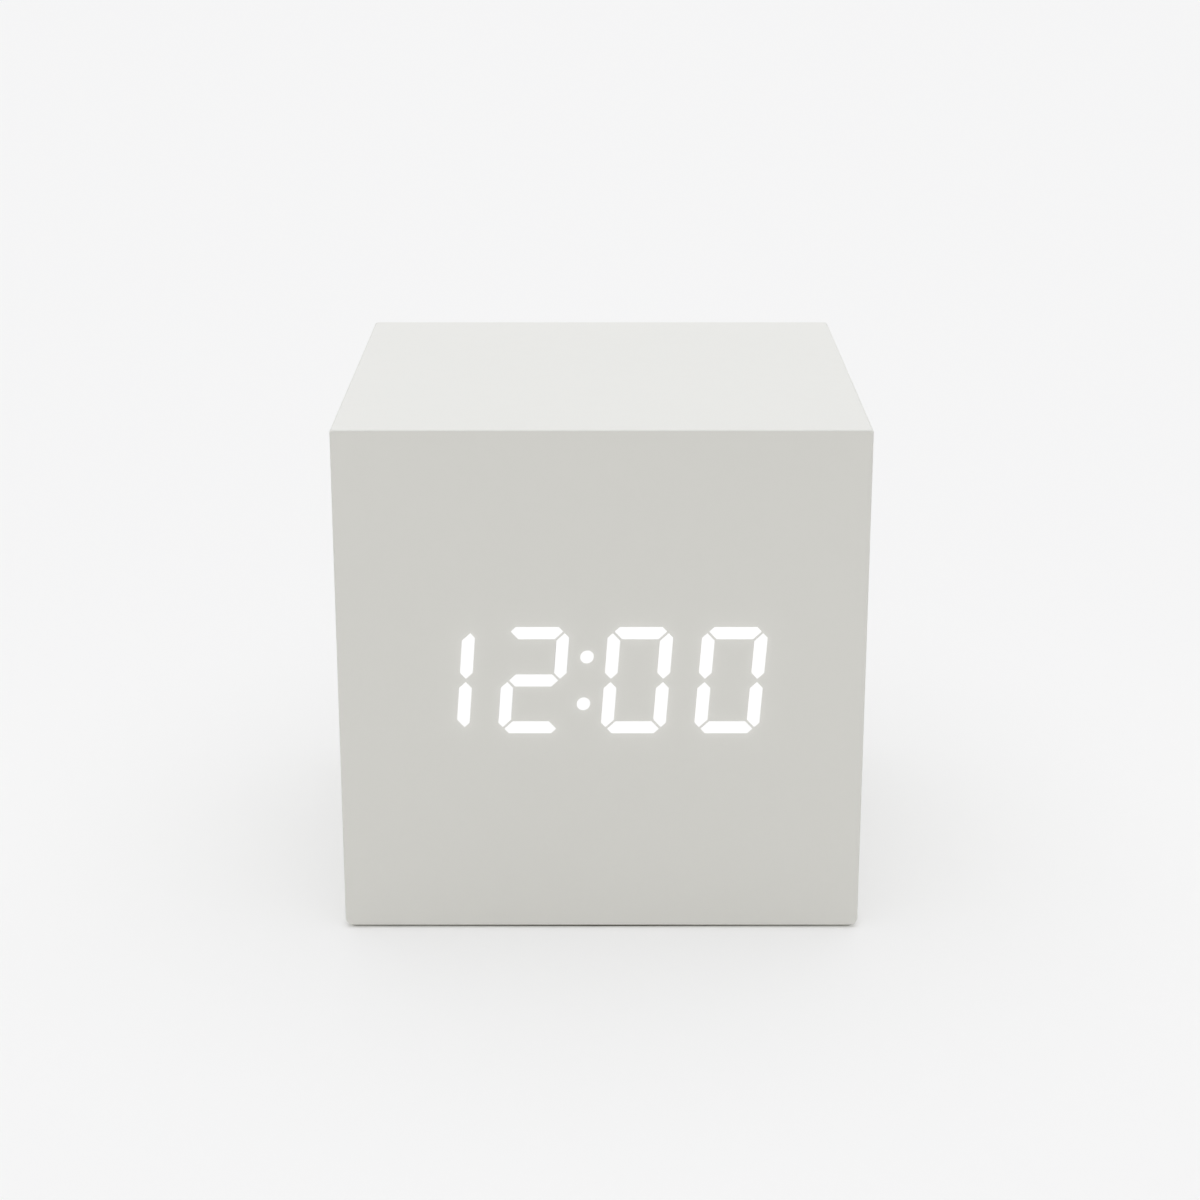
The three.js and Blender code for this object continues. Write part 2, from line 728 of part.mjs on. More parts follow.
function rearPanel() {
  const through = [panelInner - cutOverrun, panelOuter + cutOverrun];
  const plate = extrudeBack(roundedRectangle(about(0, 2 * panelHalfWidth), panelZ, panelCornerRadius),
    [panelInner, panelOuter]);
  const additions = [];
  for (const [x, z] of bossPlaces) {
    additions.push(rod(bossDiameter, x, z, [controlBoardBack + seatGap, panelInner + weldDepth]));
    additions.push(rod(pegDiameter, x, z,
      [controlBoardFront - pegProud, panelInner + weldDepth], smallSides));
  }
  const cuts = [];
  for (const x of buttonPlaces) cuts.push(rod(buttonDiameter + 2 * slideGap, x, buttonZ, through));
  for (const [x, z] of soundHolePlaces()) cuts.push(rod(soundHoleDiameter, x, z, through, smallSides));
  cuts.push(rod(soundHoleDiameter, 0, microphoneZ, through, smallSides));
  cuts.push(block(about(alarmX, knobWidth + alarmTravel + 2 * slideGap), through,
    about(alarmZ, knobHeight + 2 * slideGap)));
  cuts.push(extrudeBack(inletOutline(seatGap), through));
  for (const [x, z] of panelScrewPlaces) {
    cuts.push(rod(panelScrewDiameter + 2 * seatGap, x, z, through, smallSides));
    cuts.push(rod(panelScrewHeadDiameter + 2 * seatGap, x, z,
      [panelOuter - panelCounterboreDepth, panelOuter + cutOverrun]));
  }
  return piece('rear_panel', carve(plate, additions, cuts), panelPlastic);
}

function panelScrew(index) {
  const geometry = screwGeometry(panelScrewDiameter, panelScrewLength, panelScrewHeadDiameter,
    panelScrewHeadHeight);
  const [x, z] = panelScrewPlaces[index];
  return piece(`rear_panel_screw_${index + 1}`, geometry, steel,
    [x, panelOuter - panelCounterboreDepth + seatGap, z]);
}

// A block in each corner of the case, chamfered towards the middle and drilled for its screw
function cornerBlock(index) {
  const [screwX, screwZ] = panelScrewPlaces[index];
  const sideX = Math.sign(screwX);
  const sideZ = index < 2 ? -1 : 1;
  const outerX = sideX * (cavityHalfWidth - seatGap);
  const outerZ = sideZ < 0 ? cavityBottom + seatGap : cavityTop - seatGap;
  const innerX = outerX - sideX * cornerBlockSize;
  const innerZ = outerZ - sideZ * cornerBlockSize;
  const shape = outline([[outerX, outerZ], [outerX, innerZ],
    [innerX + sideX * cornerBlockChamfer, innerZ], [innerX, innerZ + sideZ * cornerBlockChamfer],
    [innerX, outerZ]]);
  const back = panelInner - seatGap;
  const hole = rod(panelScrewDiameter + 2 * screwGap, screwX, screwZ,
    [back - cornerBlockLength - cutOverrun, back + cutOverrun], smallSides);
  return piece(`corner_block_${index + 1}`,
    carve(extrudeBack(shape, [back - cornerBlockLength, back]), [], [hole]), wood);
}

function controlBoard() {
  const y = [controlBoardFront, controlBoardBack];
  const board = block(about(0, 2 * controlBoardHalfWidth), y, [controlBoardBottom, controlBoardTop]);
  const holes = bossPlaces.map(([x, z]) => rod(pegDiameter + 2 * seatGap, x, z,
    [y[0] - cutOverrun, y[1] + cutOverrun], smallSides));
  return piece('control_board', carve(board, [], holes), boardGreen);
}

function buttonCap(name, x) {
  const radius = buttonDiameter / 2;
  const flangeRadius = radius + buttonFlangeWidth;
  const top = panelOuter + buttonProud - plungerTop;
  const geometry = turned([[0, 0], [flangeRadius, 0], [flangeRadius, buttonFlangeThickness],
    [radius, buttonFlangeThickness], [radius, top - buttonEdgeRadius],
    [radius - buttonEdgeRadius / 3, top - buttonEdgeRadius / 3], [radius - buttonEdgeRadius, top],
    [radius / 2, top - buttonDish], [0, top - buttonDish]]);
  return piece(`${name}_button`, geometry, buttonPlastic, [x, plungerTop, buttonZ]);
}

function buttonPlunger(name, x) {
  const geometry = rod(plungerDiameter, 0, 0, [-plungerRise - plungerDepth, 0]);
  return piece(`${name}_plunger`, geometry, blackPlastic, [x, plungerTop, buttonZ]);
}

function switchHousing(name, x) {
  const y = [controlBoardBack, switchTop];
  const body = block(about(x, switchSize), y, about(buttonZ, switchSize));
  const well = rod(plungerDiameter + 2 * slideGap, x, buttonZ,
    [y[0] + switchFloor, y[1] + cutOverrun]);
  return piece(`${name}_switch`, carve(body, [], [well]), blackPlastic);
}

// Alarm slide switch. The knob rests at the left end of its travel, seen from the front.

const knobX = alarmX - alarmTravel / 2;
const alarmCavityWidth = knobWidth + 2 * knobFootOverhang + alarmTravel + 2 * slideGap;
const alarmCavityHeight = alarmHousingHeight - 2 * alarmHousingWall;
const alarmHousingTop = controlBoardBack + alarmHousingDepth;
const alarmCavityTop = alarmHousingTop - alarmHousingWall;

function alarmSwitchHousing() {
  const body = block(about(alarmX, alarmCavityWidth + 2 * alarmHousingWall),
    [controlBoardBack, alarmHousingTop], about(alarmZ, alarmHousingHeight));
  const cavity = block(about(alarmX, alarmCavityWidth),
    [controlBoardBack + alarmHousingWall, alarmCavityTop], about(alarmZ, alarmCavityHeight));
  const slot = block(about(alarmX, knobWidth + alarmTravel + 2 * slideGap),
    [alarmCavityTop - weldDepth, alarmHousingTop + cutOverrun],
    about(alarmZ, knobHeight + 2 * slideGap));
  return piece('alarm_switch_housing', carve(body, [], [cavity, slot]), steel);
}

function alarmSwitchKnob() {
  const footTop = alarmCavityTop - slideGap;
  const end = panelOuter + knobProud;
  const base = block(about(knobX, knobWidth + 2 * knobFootOverhang),
    [footTop - knobFootDepth, footTop], about(alarmZ, alarmCavityHeight - 2 * slideGap));
  const stem = block(about(knobX, knobWidth), [footTop - weldDepth, end], about(alarmZ, knobHeight));
  const pitch = knobWidth / (knobGrooves + 1);
  const grooves = [];
  for (let groove = 1; groove <= knobGrooves; groove += 1) {
    grooves.push(block(about(knobX - knobWidth / 2 + groove * pitch, knobGrooveWidth),
      [end - knobGrooveDepth, end + cutOverrun], about(alarmZ, knobHeight + cutOverrun)));
  }
  return piece('alarm_switch_knob', carve(base, [stem], grooves), blackPlastic);
}

function powerInlet() {
  const mouth = panelOuter - inletSetBack;
  const shell = extrudeBack(inletOutline(), [controlBoardBack, mouth]);
  const hollow = extrudeBack(inletOutline(-inletWall),
    [controlBoardBack + inletFloor, mouth + cutOverrun]);
  const tongueZ = inletZ + inletHeight / 2 - inletWall - inletTongueThickness;
  const tongue = block(about(inletX, inletTongueWidth),
    [controlBoardBack + inletFloor - weldDepth, controlBoardBack + inletFloor + inletTongueLength],
    about(tongueZ, inletTongueThickness));
  const housing = toGeometry(toSolid(shell).subtract(toSolid(hollow)).add(toSolid(tongue)));
  return piece('power_inlet', housing, steel);
}

function buzzer() {
  const radius = buzzerDiameter / 2;
  const port = buzzerPortDiameter / 2;
  const geometry = turned([[0, 0], [radius, 0], [radius, buzzerHeight - port / 2],
    [radius - port / 2, buzzerHeight], [port, buzzerHeight], [port, buzzerHeight - buzzerPortDepth],
    [0, buzzerHeight - buzzerPortDepth]]);
  return piece('buzzer', geometry, blackPlastic, [0, controlBoardBack, buzzerZ]);
}

function microphone() {
  const radius = microphoneDiameter / 2;
  const felt = microphoneFeltDiameter / 2;
  const geometry = turned([[0, 0], [radius, 0], [radius, microphoneHeight], [felt, microphoneHeight],
    [felt, microphoneHeight - microphoneFeltDepth], [0, microphoneHeight - microphoneFeltDepth]]);
  return piece('microphone', geometry, steel, [0, controlBoardBack, microphoneZ]);
}

function clockChip() {
  const y = [controlBoardFront - chipThickness, controlBoardFront - chipLegThickness / 2];
  const body = block(about(chipX, chipLegs * chipLegSpacing), y, about(chipZ, chipHeight));
  const legs = [];
  for (let leg = 0; leg < chipLegs; leg += 1) {
    const x = about(chipX + (leg - (chipLegs - 1) / 2) * chipLegSpacing, chipLegWidth);
    legs.push(block(x, [controlBoardFront - chipLegThickness, controlBoardFront],
      about(chipZ, chipHeight + 2 * chipLegReach)));
  }
  return piece('clock_chip', carve(body, legs, []), blackPlastic);
}

function clockCrystal() {
  const radius = crystalWidth / 2;
  const shape = roundedRectangle(about(crystalX, crystalLength), about(crystalZ, crystalWidth), radius);
  return piece('clock_crystal',
    extrudeBack(shape, [controlBoardFront - crystalHeight, controlBoardFront]), steel);
}

// Battery tray, with a flange that lies flush in the bottom of the case

function trayBlock(margin, z) {
  return block(about(0, 2 * (trayInnerHalfLength + margin)),
    about(trayY, 2 * (trayInnerHalfWidth + margin)), z);
}

const doorFront = trayY - trayInnerHalfWidth + seatGap;
const doorBack = trayY + trayInnerHalfWidth - seatGap;
const doorTabPlaces = about(0, doorTabSpacing);
const cellPlaces = Array.from({ length: cellCount }, (_, index) =>
  trayY + (index - (cellCount - 1) / 2) * (cellDiameter + cellGap));
const wallContactX = trayInnerHalfLength - seatGap;
const terminalPlaces = [cellPlaces[0], cellPlaces[cellCount - 1]];

function batteryTray() {
  const additions = [
    trayBlock(trayWall + trayFlangeWidth, [caseBottom, caseBottom + trayFlangeThickness]),
  ];
  const hollow = trayBlock(0, [caseBottom - cutOverrun, trayRoofInner]);
  const ribs = [];
  for (let rib = 1; rib < cellCount; rib += 1) {
    ribs.push(block(about(0, 2 * (trayInnerHalfLength - trayRibSetBack)),
      about((cellPlaces[rib - 1] + cellPlaces[rib]) / 2, trayRibWidth),
      [trayRoofInner - trayRibHeight, trayRoofInner + weldDepth]));
  }
  const cuts = doorTabPlaces.map((x) => block(about(x, doorTabWidth + 2 * slideGap),
    [doorFront - doorTabReach - tabSlotGap, doorFront + tabSlotGap],
    [caseBottom + doorTabRise - tabSlotGap, caseBottom + doorThickness + tabSlotGap + tabSwingRoom]));
  cuts.push(block(about(0, latchWidth + 2 * slideGap), [doorBack - tabSlotGap,
    doorBack + seatGap + latchNotchDepth],
  [caseBottom + latchRise - tabSlotGap / 2, caseBottom + latchRise + latchHeight + tabSlotGap]));
  for (const y of terminalPlaces) {
    cuts.push(block([wallContactX - contactThickness - seatGap, wallContactX + seatGap],
      about(y, terminalTabWidth + 2 * seatGap),
      [trayRoofInner - cutOverrun, trayRoofOuter + cutOverrun]));
  }
  const tub = toSolid(carve(trayBlock(trayWall, [caseBottom, trayRoofOuter]), additions, [hollow]));
  const ribbed = ribs.reduce((solid, rib) => solid.add(toSolid(rib)), tub);
  return piece('battery_tray', carve(toGeometry(ribbed), [], cuts), blackPlastic);
}

function batteryDoor() {
  const halfLength = trayInnerHalfLength - seatGap;
  const z = [caseBottom, caseBottom + doorThickness];
  const tabs = doorTabPlaces.map((x) => block(about(x, doorTabWidth),
    [doorFront - doorTabReach, doorFront + weldDepth],
    [caseBottom + doorTabRise, caseBottom + doorTabRise + doorTabHeight]));
  const nub = block(about(0, latchWidth - 2 * latchSlotWidth),
    [doorBack - weldDepth, doorBack + seatGap + latchReach],
    [caseBottom + latchRise, caseBottom + latchRise + latchHeight]);
  const slots = about(0, latchWidth).map((x) => block(about(x, latchSlotWidth),
    [doorBack - latchSlotLength, doorBack + cutOverrun], [z[0] - cutOverrun, z[1] + cutOverrun]));
  const grooves = [];
  for (let groove = 1; groove <= latchGrooves; groove += 1) {
    grooves.push(block(about(0, latchWidth - 4 * latchSlotWidth),
      about(doorBack - groove * latchGrooveSpacing, latchGrooveWidth),
      [z[0] - cutOverrun, z[0] + latchGrooveDepth]));
  }
  return piece('battery_door', carve(block(about(0, 2 * halfLength), [doorFront, doorBack], z),
    [...tabs, nub], [...slots, ...grooves]), blackPlastic);
}

// A cell's positive end faces right on every other cell, counted from the front
function facing(index) {
  return index % 2 === 0 ? 1 : -1;
}

function batteryCell(index) {
  const radius = cellDiameter / 2;
  const body = cellLength - cellNubLength;
  const base = cellBaseDiameter / 2;
  const nub = cellNubDiameter / 2;
  const geometry = turned([[0, cellBaseRecess], [base, cellBaseRecess], [base, 0],
    [radius - cellEdgeRadius / 2, 0], [radius, cellEdgeRadius / 2], [radius, body - cellEdgeRadius],
    [radius - cellEdgeRadius, body], [nub, body], [nub, cellLength], [0, cellLength]]);
  const turn = facing(index);
  geometry.rotateZ(-turn * Math.PI / 2);
  const positiveEnd = wallContactX - contactThickness - contactDimpleHeight - seatGap;
  return piece(`battery_${index + 1}`, geometry, cellWrap,
    [turn * (positiveEnd - cellLength), cellPlaces[index], cellZ]);
}

class ConicalHelix extends THREE.Curve {
  getPoint(share, target = new THREE.Vector3()) {
    const angle = share * springTurns * 2 * Math.PI;
    const drift = springTipDiameter - springBaseDiameter;
    const radius = (springBaseDiameter + drift * share) / 2;
    const rise = springLength - springWireDiameter / 2;
    return target.set(share * rise, Math.cos(angle) * radius, Math.sin(angle) * radius);
  }
}

// A spring that stands on the plate at an end of the tray and reaches towards the middle
function contactSpring(side, y) {
  const section = new THREE.Shape().absarc(0, 0, springWireDiameter / 2, 0, 2 * Math.PI);
  const geometry = new THREE.ExtrudeGeometry(section, {
    extrudePath: new ConicalHelix(),
    steps: Math.round(springTurns * springSteps),
    curveSegments: springSides / 2,
    bevelEnabled: false,
  });
  const plateFace = wallContactX - contactThickness;
  geometry.rotateY(side > 0 ? Math.PI : 0);
  return geometry.translate(side * plateFace, y, cellZ);
}

function contactDimple(side, y) {
  const face = wallContactX - contactThickness;
  const reach = [face - contactDimpleHeight, face + contactThickness / 2];
  const geometry = rod(contactDimpleDiameter, 0, 0, reach, smallSides);
  return geometry.rotateZ(-side * Math.PI / 2).translate(0, y, cellZ);
}

// A plate against the end wall over the named cells, with a dimple at each positive end and a
// spring at each negative end
function contact(name, side, cells, tab) {
  const ys = cells.map((index) => cellPlaces[index]);
  const y = [Math.min(...ys) - contactWidth / 2, Math.max(...ys) + contactWidth / 2];
  const ends = [side * (wallContactX - contactThickness), side * wallContactX].sort((a, b) => a - b);
  const fittings = cells.map((index) => (facing(index) === side
    ? contactDimple(side, cellPlaces[index]) : contactSpring(side, cellPlaces[index])));
  if (tab) {
    fittings.push(block(ends, about(ys[0], terminalTabWidth), [cellZ, trayRoofOuter + terminalTabRise]));
  }
  return piece(name, carve(block(ends, y, about(cellZ, contactHeight)), fittings, []), steel);
}

// An insulated lead from a terminal's tab to the front of the control board
function batteryLead(name, terminalY, endX, material) {
  const tabFace = wallContactX - contactThickness - seatGap;
  const z = trayRoofOuter + terminalTabRise - leadDiameter / 2;
  const leadZ = controlBoardBottom + leadRise;
  const end = controlBoardFront - seatGap;
  const path = new THREE.CatmullRomCurve3([
    new THREE.Vector3(tabFace, terminalY, z),
    new THREE.Vector3(tabFace - leadDiameter, terminalY, z),
    new THREE.Vector3((tabFace + endX) / 2 - leadDiameter, (terminalY + 2 * end) / 3 - leadBow / 2,
      z + leadDiameter),
    new THREE.Vector3(endX, end - leadBow / 2, leadZ),
    new THREE.Vector3(endX, end, leadZ),
  ]);
  const section = new THREE.Shape().absarc(0, 0, leadDiameter / 2, 0, 2 * Math.PI);
  const geometry = new THREE.ExtrudeGeometry(section, {
    extrudePath: path, steps: leadSteps, curveSegments: leadSides / 2, bevelEnabled: false,
  });
  return piece(name, geometry, material);
}

const leadX = controlBoardHalfWidth - leadSideInset;
const digitIndexes = timeShown.map((_, index) => index);
const cornerIndexes = footPlaces.map((_, index) => index);
const cellIndexes = cellPlaces.map((_, index) => index);

const caseGroup = assembly(caseShell(), frontSkin(), ...cornerIndexes.map(foot));

const displayGroup = assembly(
  ...digitIndexes.map(digitLightGuide),
  colonLightGuide(),
  ledReflector(),
  displayBoard(),
  ...cornerIndexes.map(boardScrew),
  ribbonSocket('display_connector', displayBoardBack, 1),
  ribbonSocket('control_connector', controlBoardFront, -1),
  displayRibbon(),
);

const controlGroup = assembly(
  rearPanel(),
  ...cornerIndexes.map(panelScrew),
  ...cornerIndexes.map(cornerBlock),
  controlBoard(),
  ...buttonNames.map((name, index) => buttonCap(name, buttonPlaces[index])),
  ...buttonNames.map((name, index) => buttonPlunger(name, buttonPlaces[index])),
  ...buttonNames.map((name, index) => switchHousing(name, buttonPlaces[index])),
  alarmSwitchHousing(),
  alarmSwitchKnob(),
  powerInlet(),
  buzzer(),
  microphone(),
  clockChip(),
  clockCrystal(),
);

const powerGroup = assembly(
  batteryTray(),
  batteryDoor(),
  ...cellIndexes.map(batteryCell),
  contact('battery_terminal_positive', 1, [0], true),
  contact('battery_terminal_negative', 1, [cellCount - 1], true),
  contact('battery_bridge_1', -1, [0, 1], false),
  contact('battery_bridge_2', 1, [1, 2], false),
  contact('battery_bridge_3', -1, [2, 3], false),
  batteryLead('battery_lead_positive', terminalPlaces[0], leadX, redWire),
  batteryLead('battery_lead_negative', terminalPlaces[1], leadX - leadSpacing, blackWire),
);

export default assembly(caseGroup, displayGroup, controlGroup, powerGroup);
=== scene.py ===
import math

import bmesh
import bpy
import numpy as np
from mathutils import Matrix, Vector
from mathutils.geometry import delaunay_2d_cdt


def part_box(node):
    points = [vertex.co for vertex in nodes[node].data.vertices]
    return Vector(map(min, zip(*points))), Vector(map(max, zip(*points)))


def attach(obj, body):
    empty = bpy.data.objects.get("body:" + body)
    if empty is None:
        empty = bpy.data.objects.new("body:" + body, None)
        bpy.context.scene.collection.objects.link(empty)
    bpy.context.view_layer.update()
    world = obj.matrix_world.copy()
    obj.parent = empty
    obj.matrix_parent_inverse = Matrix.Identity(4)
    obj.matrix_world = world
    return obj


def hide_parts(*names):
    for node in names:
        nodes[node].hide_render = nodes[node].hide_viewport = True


# Looks and studio for the cube alarm clock. Lengths are in metres, with MM for the small ones.

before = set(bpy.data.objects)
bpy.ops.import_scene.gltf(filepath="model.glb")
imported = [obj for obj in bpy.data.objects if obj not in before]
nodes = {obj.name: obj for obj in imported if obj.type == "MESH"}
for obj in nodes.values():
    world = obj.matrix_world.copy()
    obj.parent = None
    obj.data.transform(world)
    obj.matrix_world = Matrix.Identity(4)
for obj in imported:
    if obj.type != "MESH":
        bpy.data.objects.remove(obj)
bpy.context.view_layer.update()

MM = 0.001
CASE = "clock_body"

# The numbers of the cells, and of the screws of each kind
NUMBERS = range(1, 5)

# Camera: 75 mm lens on a 36 mm sensor, looking down at the front
LENS = 75
SENSOR = 36
CAMERA_PLACE = (-0.2 * MM, -337.43 * MM, 142.6 * MM)
CAMERA_PITCH = math.radians(17.705)
CAMERA_REACH = (0.02, 20)

# Light: a sky that is weaker from the left and right, a wide lamp above and one below
SKY_AHEAD = (0.7, 0.7, 0.707)
SKY_BESIDE = (0.1, 0.1, 0.101)
SEEN_BACKDROP = (0.918, 0.918, 0.918)
LAMP_LEVEL = 1.41
LAMP_SPREAD = math.radians(90)
LOWER_LAMP_LEVEL = 1.0
LOWER_LAMP_SPREAD = math.radians(40)

# Floor: its colour as the light meets it, the shadow painted on it under the clock, and how much of
# the white that is seen beside the clock is its own
FLOOR_BOUNCE = (0.793, 0.778, 0.73)
FLOOR_PAINTED_SHADOW = (0.22, 0.215, 0.19)
PAINTED_SHADOW_INSET = 0.48 * MM
PAINTED_SHADOW_ROUNDING = 1.2 * MM
PAINTED_SHADOW_AT_CORNER = 0.58
FLOOR_LIFT = 0.37
FLOOR_EDGE = 2 * MM
FLOOR_RADIUS = 3.0
FLOOR_SIDES = 96

# Rounding and shading of the edges
SMOOTH_ANGLE = math.radians(38)
EDGE_ANGLE = math.radians(50)
FLAT_ANGLE = math.radians(0.5)
BEVEL_SEGMENTS = 2
WELD = 0.001 * MM
ROUND_SIDES = 64
ARC_STEPS = 6

# Lit digits, and their glow in the skin around them
LIT_DEPTH = 0.9 * MM
DIGIT_LEVEL = 0.98
LIT_BASE = (0.02, 0.02, 0.02)
GLOW_NEAR = 0.026
GLOW_NEAR_REACH = 0.5 * MM
GLOW_FAR = 0.017
GLOW_FAR_REACH = 1.9 * MM
GLOW_GRID = 0.7 * MM
GLOW_MARGIN = 7 * MM
GLOW_CLEARANCE = 0.2 * MM

# Screws, in shares of the head's radius. The tip is a share of the shank's radius, the taper one
# of the recess's mouth, and the head's rounding ends at an angle in degrees.
HEAD_RISE = 0.6
HEAD_FLAT = 0.5
HEAD_ROUNDING_END = 60
SHANK = 0.5
SHANK_TIP = 0.6
RECESS_WIDTH = 0.56
RECESS_THICKNESS = 0.15
RECESS_DEPTH = 0.36
RECESS_TAPER = 0.4
SCREW_TURN = math.radians(29)

# Buttons
BUTTON_FLANGE_WIDTH = 0.9 * MM
BUTTON_FLANGE_HEIGHT = 1.3 * MM
BUTTON_EDGE = 0.45 * MM
BUTTON_DISH = 0.28 * MM
DISH_STEPS = 5

# Printed marks beside the controls
MARK_HEIGHT = 0.04 * MM
MARK_SIZE = 2.3 * MM
MARK_LINE = 0.32 * MM
MARK_RISE = 5.6 * MM
LOW_MARK_RISE = 0.72 * MARK_RISE
MARK_SIDES = 24

# Their forms, in shares of half a mark's size, and the dome's angles in degrees
ARROW_FOOT = 0.8
LONG_HAND = 0.62
SHORT_HAND = 0.55
DOME_RADIUS = 0.62
DOME_RISE = 0.25
DOME_ANGLES = range(0, 181, 18)
BELL_RIM = ((-0.66, -0.3), (-1, -0.62), (1, -0.62), (0.66, -0.3))
CLAPPER_RADIUS = 0.18
CLAPPER_DROP = 0.82
CLAPPER_SIDES = 10
DASH_LENGTH = 0.5
DASH_STARTS = (-1, -0.25, 0.5)

# Their lines, in shares of half a line's width
SHORT_HAND_START = 1.3
BAR_SPAN = (1, 3)
DASH_SPAN = (-2.4, -0.6)

# Arrow on the battery door
DOOR_ARROW_INSET = 12 * MM
DOOR_ARROW_SLOPE = 0.6
DOOR_ARROW_RELIEF = 0.12 * MM

# Power inlet's tongue and back
TONGUE_HALF_WIDTH = 2.05 * MM
TONGUE_HALF_THICKNESS = 0.37 * MM
TONGUE_RISE = 0.35 * MM
INLET_BACK = 1.25 * MM

# Ribbon cable, from one conductor to the next
RIBBON_PITCH = 1 * MM

# Cells. The band is a share of the length, the base one of the radius.
CELL_LIP = 0.25 * MM
CELL_LIP_WIDTH = 0.9 * MM
CELL_LIP_STEPS = 4
CELL_BAND = 0.24
CELL_BASE = 0.8
CELL_BASE_EDGE = 0.3 * MM
CELL_BASE_RECESS = 0.15 * MM
NUB_RADIUS = 1.9 * MM
NUB_LENGTH = 0.8 * MM
NUB_FOOT = 0.3 * MM
NUB_STEPS = 3


# Mesh helpers


def arc(centre, radius, start, end, steps=ARC_STEPS):
    """Points of radius and height on an arc, with its angles in degrees from straight out."""
    points = []
    for step in range(steps + 1):
        angle = math.radians(start + (end - start) * step / steps)
        points.append((centre[0] + radius * math.cos(angle), centre[1] + radius * math.sin(angle)))
    return points


def turned(profile, place, sides=ROUND_SIDES):
    """A closed body of revolution about its own Y, from points of radius and height.

    Each stretch of the profile is (material index, points)."""
    body = bmesh.new()
    points = [(index, point) for index, stretch in profile for point in stretch]
    rings = []
    for _, (radius, height) in points:
        count = sides if radius > WELD else 1
        ring = []
        for side in range(count):
            angle = side / sides * 2 * math.pi
            spot = Vector((math.cos(angle) * radius, height, math.sin(angle) * radius))
            ring.append(body.verts.new(place @ spot))
        rings.append(ring)
    for (index, _), ring, after in zip(points[1:], rings, rings[1:]):
        for side in range(sides):
            pair = (side, (side + 1) % sides)
            corners = [ring[pair[0] % len(ring)], ring[pair[1] % len(ring)],
                       after[pair[1] % len(after)], after[pair[0] % len(after)]]
            distinct = list(dict.fromkeys(corners))
            if len(distinct) > 2:
                body.faces.new(distinct).material_index = index
    bmesh.ops.remove_doubles(body, verts=body.verts, dist=WELD)
    return body


def walled(body, near, far):
    """Closes the way between two equal rings of vertices with one face for each edge."""
    for corner in range(len(near)):
        following = (corner + 1) % len(near)
        body.faces.new([near[corner], far[corner], far[following], near[following]])


def prism(outline, depths, place):
    """A flat shape drawn in X and Z, extruded between two depths along Y."""
    body = bmesh.new()
    near, far = [[body.verts.new(place @ Vector((x, depth, z))) for x, z in outline]
                 for depth in depths]
    body.faces.new(near)
    body.faces.new(list(reversed(far)))
    walled(body, near, far)
    return body


def joined(bodies):
    """One mesh from several that don't touch."""
    whole = bmesh.new()
    for body in bodies:
        mesh = bpy.data.meshes.new("part")
        body.to_mesh(mesh)
        body.free()
        whole.from_mesh(mesh)
        bpy.data.meshes.remove(mesh)
    return whole


def made(name, body):
    """A new object that holds the mesh, with its faces turned outward."""
    bmesh.ops.recalc_face_normals(body, faces=body.faces)
    mesh = bpy.data.meshes.new(name)
    body.to_mesh(mesh)
    body.free()
    mesh.shade_smooth()
    mesh.set_sharp_from_angle(angle=SMOOTH_ANGLE)
    thing = bpy.data.objects.new(name, mesh)
    bpy.context.scene.collection.objects.link(thing)
    return thing


def carved(thing, cutter):
    """Cuts one object out of another for good, and removes the cutter."""
    cut = thing.modifiers.new("cut", "BOOLEAN")
    cut.operation = "DIFFERENCE"
    cut.solver = "EXACT"
    cut.object = cutter
    bpy.context.view_layer.update()
    dependencies = bpy.context.evaluated_depsgraph_get()
    result = bpy.data.meshes.new_from_object(thing.evaluated_get(dependencies))
    thing.modifiers.clear()
    thing.data = result
    result.shade_smooth()
    result.set_sharp_from_angle(angle=SMOOTH_ANGLE)
    bpy.data.objects.remove(cutter)


def placed(thing, materials, body, slot, *replaced):
    """Finishes a new piece: its materials, the body it rides on and the nodes it stands for."""
    for material in materials:
        thing.data.materials.append(material)
    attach(thing, body)
    if replaced:
        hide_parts(*replaced)


def smooth_group():
    """Geometry nodes that shade a mesh smooth, apart from its sharp edges."""
    group = bpy.data.node_groups.new("smooth_by_angle", "GeometryNodeTree")
    for way in ("INPUT", "OUTPUT"):
        group.interface.new_socket("Geometry", in_out=way, socket_type="NodeSocketGeometry")
    entry = group.nodes.new("NodeGroupInput")
    leave = group.nodes.new("NodeGroupOutput")
    faces = group.nodes.new("GeometryNodeSetShadeSmooth")
    edges = group.nodes.new("GeometryNodeSetShadeSmooth")
    edges.domain = "EDGE"
    angle = group.nodes.new("GeometryNodeInputMeshEdgeAngle")
    gentle = group.nodes.new("FunctionNodeCompare")
    gentle.operation = "LESS_THAN"
    gentle.inputs["B"].default_value = SMOOTH_ANGLE
    group.links.new(entry.outputs["Geometry"], faces.inputs["Geometry"])
    group.links.new(faces.outputs["Geometry"], edges.inputs["Geometry"])
    group.links.new(angle.outputs["Unsigned Angle"], gentle.inputs["A"])
    group.links.new(gentle.outputs["Result"], edges.inputs["Shade Smooth"])
    group.links.new(edges.outputs["Geometry"], leave.inputs["Geometry"])
    return group


def weigh_normals(thing):
    """Keeps large faces flat to the eye where small ones meet them."""
    weighted = thing.modifiers.new("weighted", "WEIGHTED_NORMAL")
    weighted.keep_sharp = True


